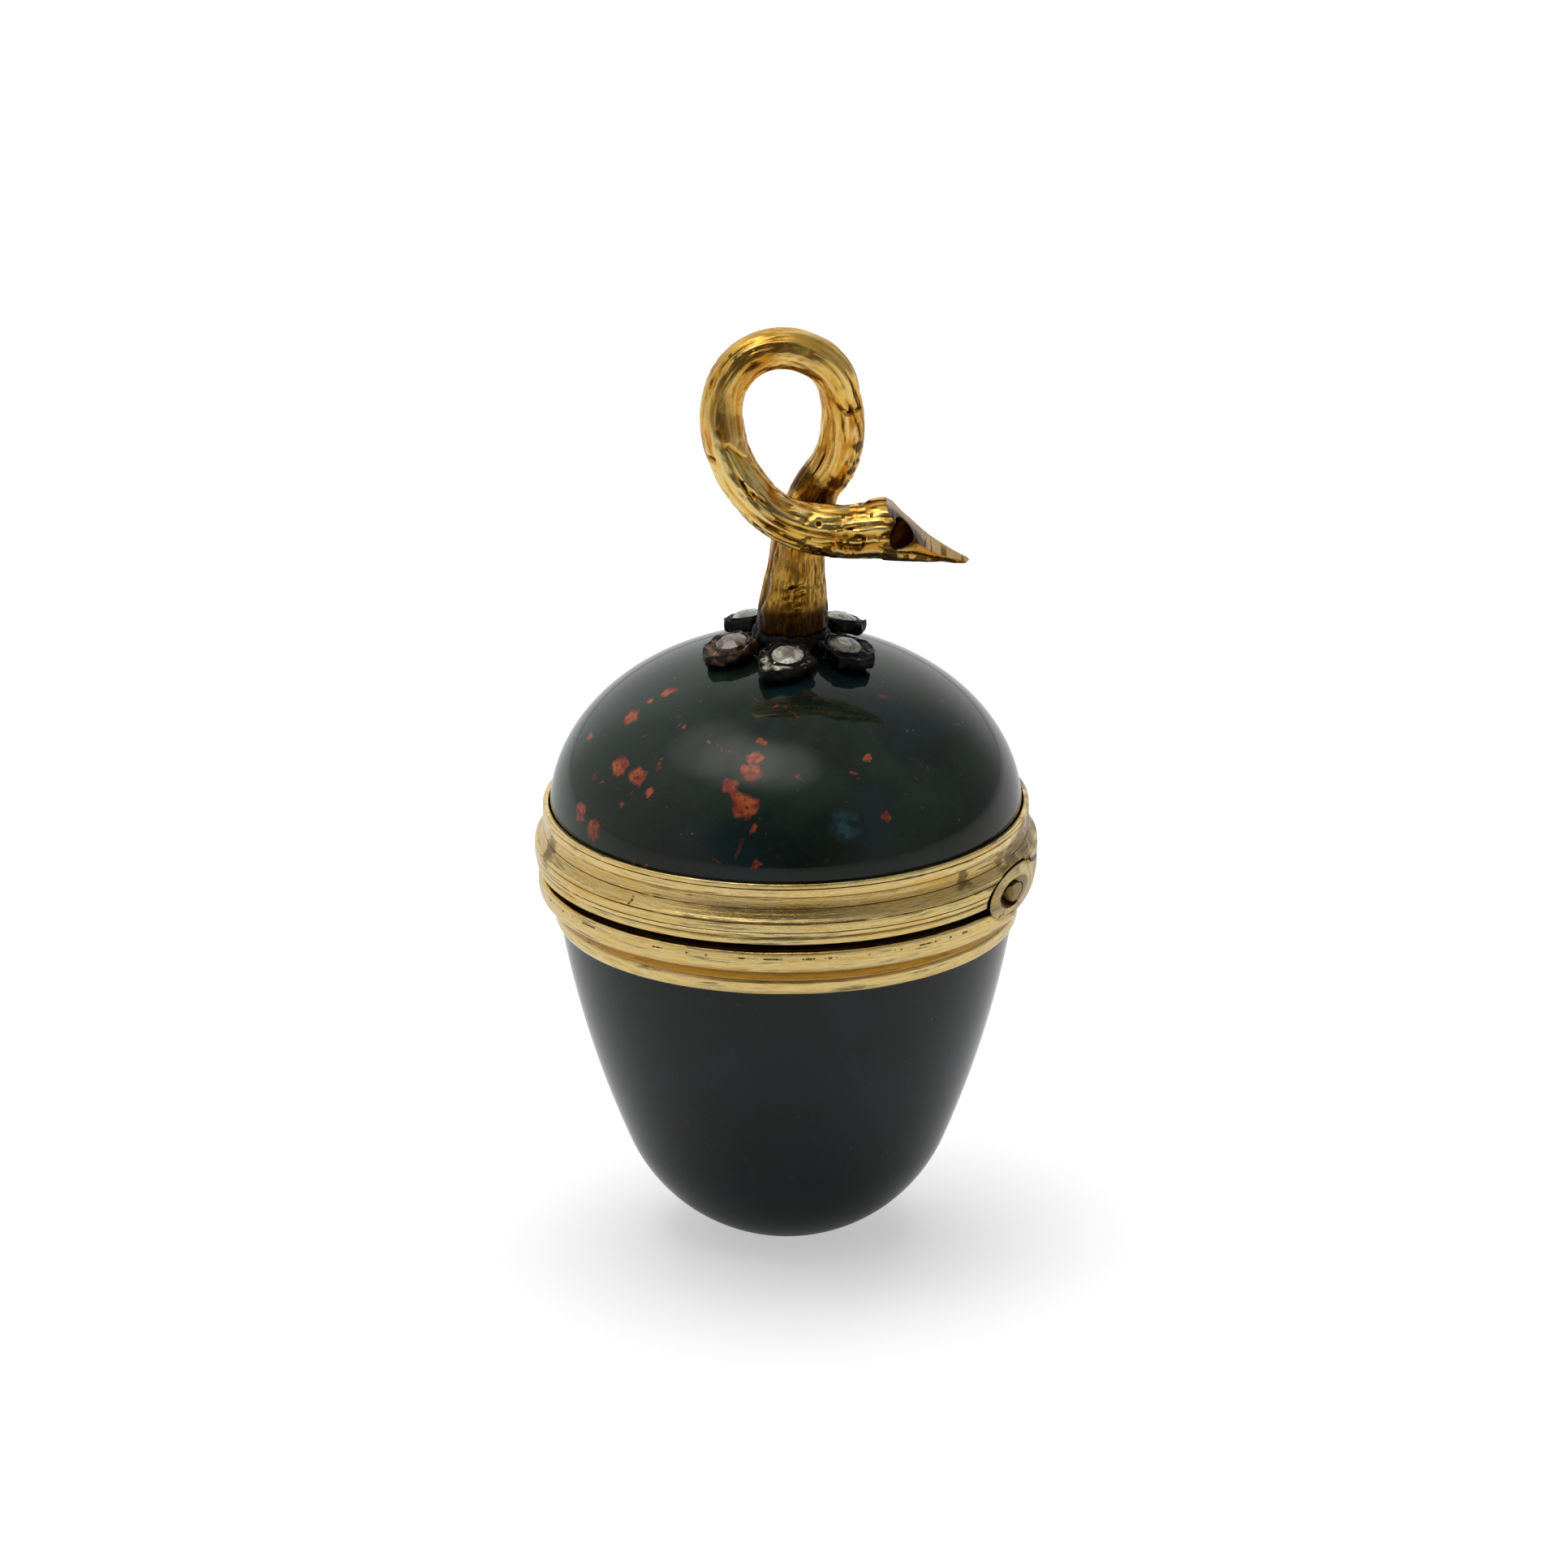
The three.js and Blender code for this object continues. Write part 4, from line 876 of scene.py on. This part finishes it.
# Seen from the front: x and height above the calyx of start and end, size, and how far the mark is raised
marks = [
    (2.48, 12.76, 3.04, 12.36, 0.13, -0.12), (3.04, 12.36, 3.65, 12.52, 0.13, -0.12),
    (2.6, 13.5, 2.9, 12.95, 0.6, 0.09), (-4.3, 10.32, -4.1, 10.3, 0.22, -0.22),
    (-3.3, 11.1, -2.34, 10.3, 0.11, -0.12), (1.49, 7.09, 1.5, 7.05, 0.2, -0.3),
    (0.7, 7.18, 0.85, 7.15, 0.13, -0.14), (-0.17, 2.53, 0.59, 2.75, 0.12, -0.15),
    (-0.23, 2.1, 0.71, 2.37, 0.12, -0.15), (-0.11, 1.7, 0.85, 2.0, 0.12, -0.13),
    (-0.34, 1.2, 0.42, 1.36, 0.1, -0.1), (2.1, 5.95, 2.35, 5.6, 0.12, -0.13),
    (2.4, 6.1, 2.65, 5.7, 0.12, -0.13), (2.65, 5.95, 2.95, 5.45, 0.12, -0.13),
    (3.0, 5.95, 3.3, 5.35, 0.12, -0.13), (3.45, 6.5, 3.9, 6.25, 0.13, -0.13),
    (3.9, 6.25, 3.8, 5.65, 0.13, -0.13), (3.8, 5.65, 3.35, 5.5, 0.12, -0.12),
    (4.6, 6.35, 5.3, 6.75, 0.13, -0.13),
]
# Length along the twig, and how deep the bark is there
bark_depths = [(0, 1.0), (8, 1.0), (12, 0.95), (16, 0.75), (20, 0.65), (26, 0.75), (30, 0.6), (36, 0.6),
               (40, 0.85), (50, 0.8), (99, 0.3)]


def bark_depth(length):
    """How deep the bark is at a length along the twig."""
    i = max(i for i, (start, _) in enumerate(bark_depths[:-1]) if start <= length)
    (start, first), (end, last) = bark_depths[i:i + 2]
    return first + (last - first) * (length - start) / (end - start)


# Height of a layer of strands, shift of its noise, how fine it is round and along the twig, groove's width
strands = [(0.16, 7, 2.2, 0.12, 0.16), (0.07, 11, 7.5, 0.2, 0.25), (0.12, 3, 4, 0.16, 0.2)]


def strand(c, s, length, shift, across, along_it, width):
    """A layer of strands: 0.5 on their backs, -1 in the grooves, where a stretched noise crosses 0."""
    level = abs(noise.noise((c * across + shift, s * across, length * along_it)))
    return 0.5 * min(1.0, level / 0.4) - max(0.0, 1 - level / width) ** 1.5


# %% Work the bark into the skin
lifts, turns = [], []
for ring in range(rings):
    length, centre = along[ring], centres[ring]
    stalk = max(0.0, min(1.0, (9 - length) / 4))
    depth = bark_depth(length)
    for i in range(around):
        vertex = twig.data.vertices[ring * around + i]
        out = vertex.co - centre
        radius = out.length / mm
        turn = math.tau * i / around
        turns.append((math.cos(turn), math.sin(turn)))
        turn += 0.45 * noise.noise((math.cos(turn), math.sin(turn), length * 0.2))
        c, s = math.cos(turn), math.sin(turn)
        fade = max(0.0, min(1.0, 0.6 + 1.6 * noise.noise((c * 1.2 + 5, s * 1.2, length * 0.22))))
        broad = 0.12 * noise.noise((c * 1.4, s * 1.4, length * 0.1))
        shares = fade, 1, 0.45 + 0.55 * stalk
        lift = sum(share * height * strand(c, s, length, *layer)
                   for share, (height, *layer) in zip(shares, strands))
        lift += 0.03 * noise.noise((c * 13, s * 13 + 4, length * 0.5))
        lift *= depth * min(radius, 1.5) / 1.3
        lifts.append(lift)
        spot = Vector((vertex.co.x / mm - finial_x, vertex.co.z / mm - calyx_top))
        if out.y < 0:
            cuts = sum(rise * mark(spot, (x0, z0), (x1, z1), size) for x0, z0, x1, z1, size, rise in marks)
            lifts[-1] += min(cuts * 0.7, 0)
            lift += cuts
        vertex.co += out.normalized() * (lift + broad) * mm
ring_layer, run_layer = (twig.data.uv_layers.new(name=layer) for layer in ("ring", "run"))
for loop in twig.data.loops:
    point = min(loop.vertex_index, len(lifts) - 1)
    ring_layer.data[loop.index].uv = turns[point]
    run_layer.data[loop.index].uv = (along[point // around], lifts[point])
twig.data.update()
print("bark worked into", rings * around, "points")

# %% [markdown]
# The foot of the twig is cut flat on the calyx, and a shank runs down from it through the dome. At its far
# end a large round cutter, flat above so that it clears the loop, takes the slanting slice. A smaller one
# hollows the pith.

# %% Cut the foot and the slanting end, add the shank
pith_size, pith_lean = (0.7, 1.3, 1.15), math.radians(38)
seat = calyx_top + seat_gap
flatten(twig, seat, clear_inner=True)
scoop_radius, scoop_x, scoop_z = 8.0, finial_x + 11.74, calyx_top + 12.32
scoop_tilt, scoop_back, scoop_top = math.radians(3), -1.5, calyx_top + 8.6
scoop = bar(scoop_radius, -12, 8, scoop_x, scoop_z, 192)
for vertex in scoop.data.vertices:
    vertex.co.z += math.tan(scoop_tilt) * (vertex.co.y - scoop_back * mm)
flatten(scoop, scoop_top, clear_outer=True)
clear()
bpy.ops.mesh.primitive_uv_sphere_add(segments=48, ring_count=24, radius=1, location=Vector(pith) * mm,
                                     scale=Vector(pith_size) * mm, rotation=(0, pith_lean, 0))
cut(twig, scoop, settled())
cut(twig, post(shank_radius, low("handle_nut", Z) - 0.35, seat + 1), operation="UNION")
smooth(twig, 75)
dress(twig, twig_gold, "lid", "gold", "twig_handle")

# %% [markdown]
# ## The calyx
# Six leaves lie round the twig's foot. Each is a thick plate of silver, sawn out and filed by hand, with a
# raised rim and a low collar pressed round its stone. A leaf is built from rings about its stone, the inner
# ones round and the outer ones on the leaf's own outline, and no two outlines are alike.

# %% The collar that the leaves spring from
collar_low, collar_radius = low("calyx_collar", Z), high("calyx_collar", Y)
collar_band = [(shank_radius + seat_gap, collar_low), (collar_radius - 0.05, collar_low)]
collar_side, collar_edge = (collar_radius, collar_low + 0.05), (collar_radius - 0.4, calyx_top)
collar_band += bow(collar_side, (collar_radius, calyx_top), collar_edge, 10)
collar = turned("collar", collar_band + [(shank_radius + seat_gap, calyx_top)], 96)
collar.data.transform(Matrix.Translation((finial_x * mm, 0, 0)))
dent(collar, 0.3, 0.6, "collar dents")
smooth(collar, 60)
dress(collar, leaf_silver, "lid", "silver", "calyx_collar")

# %% A leaf: rings round its stone
leaf_tilt, leaf_start, leaf_drop, stone_at = math.radians(13), 2.15, 2.85, 3.35
leaf_thick, leaf_rim, leaf_sides = 0.62, 0.16, 96
centre_x = stone_at - leaf_start
knob_from, knob_to, knob_size = (centre_x + 1.4, 0.1), (centre_x + 1.4, 0.2), 0.45


def leaf_edge(turn, corners):
    """How far the outline lies from the stone's centre, in mm. corners gives the reach of each corner by its
    turn in degrees, and straight lines join them."""
    turn = math.degrees(turn) % 360
    around = sorted((degrees % 360, reach) for degrees, reach in corners.items())
    for (a, first), (b, last) in zip(around, around[1:] + [(around[0][0] + 360, around[0][1])]):
        for place in (turn, turn + 360):
            if a <= place <= b:
                a, b, place = (math.radians(value) for value in (a, b, place))
                across = first * math.sin(place - a) + last * math.sin(b - place)
                return first * last * math.sin(b - a) / across


# Each ring: its radius about the stone, or else how far it lies beyond the leaf's edge, and its height
leaf_rings = [
    (0.3, None, 0.0), (0.82, None, 0.0), (0.9, None, 0.13), (0.99, None, 0.2), (1.08, None, 0.12),
    (1.13, None, 0.02), (None, -0.2, 0.0), (None, -0.13, 0.09), (None, -0.05, 0.1), (None, 0.0, 0.0),
    (None, 0.02, -0.3), (None, -0.03, -0.52), (None, -0.12, -0.6), (None, -0.7, -0.62),
]


# %% Make and place the leaves
def leaf_place(bearing, index):
    """Where a leaf lies: turned to its bearing, leaning down with the dome."""
    low_end = low("calyx_leaf_%d" % (index + 1), Z)
    spoke = Matrix.Rotation(math.radians(bearing - 90), 4, "Z")
    lean = Matrix.Rotation(leaf_tilt, 4, "Y")
    lift = low_end + math.sin(leaf_tilt) * leaf_drop
    return Matrix.Translation((finial_x, 0, 0)) @ spoke @ Matrix.Translation((leaf_start, 0, lift)) @ lean


def leaf(name, bearing, corners, knob=0.0, seed=0):
    clear()
    bpy.ops.mesh.primitive_circle_add(vertices=leaf_sides, radius=1, fill_type="NGON")
    piece = named(name)
    bpy.ops.object.mode_set(mode="EDIT")
    bpy.ops.mesh.select_all(action="SELECT")
    for _ in leaf_rings[1:]:
        bpy.ops.mesh.extrude_region_move(TRANSFORM_OT_translate={"value": (0, 0, -0.1)})
    bpy.ops.object.mode_set(mode="OBJECT")
    points = sorted(piece.data.vertices, key=lambda vertex: (round(-vertex.co.z, 3), vertex.index))
    for i, vertex in enumerate(points):
        angle = math.atan2(vertex.co.y, vertex.co.x)
        radius, beyond, height = leaf_rings[i // leaf_sides]
        edge = leaf_edge(angle, corners)
        reach = min(radius, edge - leaf_rim) if radius else edge + beyond
        x, y = centre_x + reach * math.cos(angle), reach * math.sin(angle)
        vertex.co = (x, y, leaf_thick + height)
        if height > -0.4:
            vertex.co.z += knob * mark(Vector((x, y)), knob_from, knob_to, knob_size)
    modify(piece, "SUBSURF", levels=1, render_levels=1)
    for vertex in piece.data.vertices:
        spot = vertex.co * 1.3 + Vector((seed, seed * 2, 0))
        from_stone = math.hypot(vertex.co.x - centre_x, vertex.co.y)
        rough = 0.14 if from_stone > 1.0 else 0.03
        places = (spot, spot + Vector((9, 0, 0)), spot * 1.7)
        vertex.co += Vector([noise.noise(place) for place in places]) * rough
    piece.data.transform(Matrix.Scale(mm, 4) @ leaf_place(bearing, seed))
    smooth(piece, 60)
    return piece


# The front leaf is rubbed bright round its lower left corner
corner = leaf_place(-3, 0) @ Vector((centre_x + 1.4, -1.1, leaf_thick + 0.1))
front_silver = black_silver("rubbed_silver", "121110", "35312d", 1.0, 0.0, [(*corner, 1.5)])

# Bearing from the front, reach of each corner by its turn, knob, finish of the leaf and of its stone
leaf_plan = [
    (-3, {76: 1.62, 18: 1.5, -34: 2.2, -70: 1.75, -105: 1.6, -150: 1.5, 140: 1.5},
     0.0, front_silver, pale_stone),
    (56, {4: 1.85, 30: 1.7, -30: 1.75, -65: 1.75, 70: 1.55, 140: 1.5, -145: 1.5},
     0.16, leaf_silver, grey_stone),
    (131, {0: 1.42, 32: 1.35, -32: 1.42, 70: 1.2, -70: 1.4, 145: 1.35, -145: 1.35},
     0.0, leaf_silver, grey_stone),
    (177, {0: 1.6, 32: 1.45, -32: 1.45, 70: 1.17, -70: 1.17, 145: 1.3, -145: 1.3},
     0.0, leaf_silver, pale_stone),
    (221, {0: 1.42, 32: 1.42, -32: 1.35, 70: 1.4, -70: 1.2, 145: 1.35, -145: 1.35},
     0.0, leaf_silver, grey_stone),
    (294, {18: 2.0, 50: 1.7, -35: 1.6, 95: 1.5, 140: 1.5, -80: 1.45, -140: 1.4},
     0.0, brown_silver, brown_stone),
]
for i, (bearing, corners, knob, finish, _) in enumerate(leaf_plan):
    piece = leaf("leaf_%d" % (i + 1), bearing, corners, knob, i)
    dress(piece, finish, "lid", "silver", "calyx_leaf_%d" % (i + 1))


# %% Cut the stones: a flat base, a girdle of twelve, a crown of six and a point
def rose_cut_stone(name, seed):
    clear()
    bpy.ops.mesh.primitive_circle_add(vertices=31, radius=1)
    piece = named(name)
    rows = [(12, 0.84, -0.2, 0), (12, 0.87, 0.05, 0), (6, 0.5, 0.27, 30), (1, 0.0, 0.36, 0)]
    places = []
    for count, radius, height, turn in rows:
        places += [(x, y, height) for x, y in arc((0, 0), (radius, radius), turn, turn + 360, count)[:-1]]
    for vertex, place in zip(piece.data.vertices, places):
        vertex.co = Vector(place) + noise.noise_vector(Vector(place) * 2 + Vector((seed, 0, 0))) * 0.06
    bpy.ops.object.mode_set(mode="EDIT")
    bpy.ops.mesh.select_all(action="SELECT")
    bpy.ops.mesh.convex_hull()
    bpy.ops.object.mode_set(mode="OBJECT")
    return piece


# noise_vector depends on the seed too, and without a fixed one the stones would differ in each run
noise.seed_set(1)
for i, (bearing, _, _, _, finish) in enumerate(leaf_plan):
    piece = rose_cut_stone("rose_cut_%d" % (i + 1), i)
    in_leaf = Matrix.Translation((centre_x, 0, leaf_thick + 0.06))
    piece.data.transform(Matrix.Scale(mm, 4) @ leaf_place(bearing, i) @ in_leaf)
    dress(piece, finish, "lid", "rose_stone", "rose_stone_%d" % (i + 1))

# %% [markdown]
# ## The sponge
# The sponge was cut round with scissors and pushed down into the cup, so it follows the stone and its top is
# uneven. A turned pad with many rings gives the displacement something to push.

# %% Turn the sponge and roughen it
sponge_top = high("sponge", Z) - 0.15
loose, rows = 0.4, 28
shoulder = mouth_low - loose
shoulder_lean = math.degrees(math.asin((shoulder - side_centre[1]) / (inner_side - loose)))
pad = arc((0, bottom_centre), (bottom_radius - wall - loose,) * 2, -90, -side_lean, rows)
pad += arc(side_centre, (inner_side - loose,) * 2, -side_lean, shoulder_lean, rows)[1:]
pad_radius = min(pad[-1][0], bezel_inner - loose) - 0.1
edge_round = 0.7
side_top, flat_edge = (pad_radius, sponge_top - edge_round), (pad_radius - edge_round, sponge_top)
pad += [side_top] + bow(side_top, (pad_radius, sponge_top), flat_edge)
pad += [(flat_edge[0] * i / rows, sponge_top) for i in range(rows - 1, -1, -1)]
sponge = turned("sponge_pad", pad, 160)
dent(sponge, 0.3, 0.5, "pores")
smooth(sponge, 80)
dress(sponge, sponge_finish, "cup", "sponge", "sponge")

# %% [markdown]
# ## The pieces that stay as the frame has them
# The small grille with its hinge, and the nut and washer under the dome, are right as they come, so they
# only get a finish. A node's own object keeps its place and its mesh.

# %% Finish the frame's own pieces
kept = [node for name, node in nodes.items() if name.startswith(("grille", "handle"))]
for node in kept:
    for slot in node.material_slots:
        slot.material = inner_gold
print("finished in place:", len(kept))

# %% [markdown]
# ## Floor and light
# The floor is pale paper. One large soft lamp stands high behind the box, so that its shadow falls towards
# us. Polished stone and gold show what is round them, so the sky does the rest: soft bright patches above
# stand for ceiling lights, and it is darker behind the camera, where a person would stand. The paper glows
# a little for the camera, so that it turns white away from the shadow.

# %% Floor
clear()
bpy.ops.mesh.primitive_plane_add(size=4)
floor = named("floor")
glow_seen, glow_mirrored = 0.49, 0.12
paper = Finish("white_paper", Roughness=0.9, Specular_IOR_Level=0.1, Emission_Strength=1.0)
paper.set(Base_Color=paper.mix(paper.noise(0.02, 2), "bcbcbc", "bfbfbf"))
camera_ray, glossy_ray = (paper.node("LightPath", out="Is %s Ray" % kind) for kind in ("Camera", "Glossy"))
mirrored = paper.mix(glossy_ray, (0, 0, 0, 1), (glow_mirrored,) * 3 + (1,))
paper.set(Emission_Color=paper.mix(camera_ray, mirrored, (glow_seen,) * 3 + (1,)))
floor.data.materials.append(paper.material)
print("floor: %.0f m wide" % floor.dimensions.x)

# %% Lamp
lamp_place, lamp_aim = Vector((0, 0.16, 0.6)), Vector((0, 0, 0.02))
clear()
bpy.ops.object.light_add(type="AREA", location=lamp_place)
lamp = bpy.context.object
lamp.name = "top_back"
lamp.data.size, lamp.data.energy = 0.55, 3.2
# The sky, not the lamp, shows in the gloss
lamp.visible_glossy = False
lamp.rotation_euler = (lamp_aim - lamp_place).to_track_quat("-Z", "Y").to_euler()
print("lamp: %.1f W, %.2f m up" % (lamp.data.energy, lamp_place.z))

# %% Sky
world = bpy.data.worlds.new("studio")
bpy.context.scene.world = world
world.use_nodes = True
sky = Nodes(world.node_tree, "Background")
way = sky.node("TexCoord", out="Generated")


def glow(bearing, height, inner, outer):
    """A soft patch of the sky, all in degrees. Bearing 0 is behind the camera and 90 to the right."""
    turn, lean, inner, outer = (math.radians(value) for value in (bearing, height, inner, outer))
    spot = (math.sin(turn) * math.cos(lean), -math.cos(turn) * math.cos(lean), math.sin(lean))
    return sky.vector("DOT_PRODUCT", way, spot).between(math.cos(outer), math.cos(inner))


# How bright a patch is, its bearing and height, and where it starts to fade and ends, in degrees
patches = [(0.9, -95, 64, 0, 20), (1.1, -60, 70, 0, 20), (1.3, -12, 74, 0, 20), (0.2, -100, 20, 10, 60),
           (0.45, 180, 20, 10, 50)]
light = 0.4 + 0.1 * sky.part(way, "Z").between(0.3, 0.95)
for power, *patch in patches:
    light = light + power * glow(*patch)
light = light * (1 - 0.78 * glow(0, 22, 18, 50)) * (1 - 0.3 * glow(95, 30, 20, 60))
sky.set(Strength=light)
sky.shader.inputs["Color"].default_value = (1, 1, 1, 1)
print("soft patches in the sky:", len(patches))

# %% [markdown]
# ## The camera
# The photograph was taken from a little above and far away with a long lens, so upright edges stay nearly
# parallel. The camera looks along +Y, so that the hinge is at the right.

# %% Set the camera
distance, elevation, field_width, roll = 2500.0, 20.5, 83.31, 0.2
target = Vector((-0.1, 0, 24.72)) * mm
up = math.radians(elevation)
clear()
bpy.ops.object.camera_add(location=target + Vector((0, -math.cos(up), math.sin(up))) * distance * mm)
camera = bpy.context.object
camera.data.sensor_width, camera.data.lens = 36, 36 * distance / field_width
camera.data.clip_start, camera.data.clip_end = 0.01, 20
camera.rotation_euler = (math.radians(90 - elevation), 0, 0)
camera.rotation_euler.rotate_axis("Z", math.radians(-roll))
bpy.context.scene.camera = camera
bpy.context.scene.view_settings.view_transform = "Standard"
print("lens %.1f mm" % camera.data.lens)
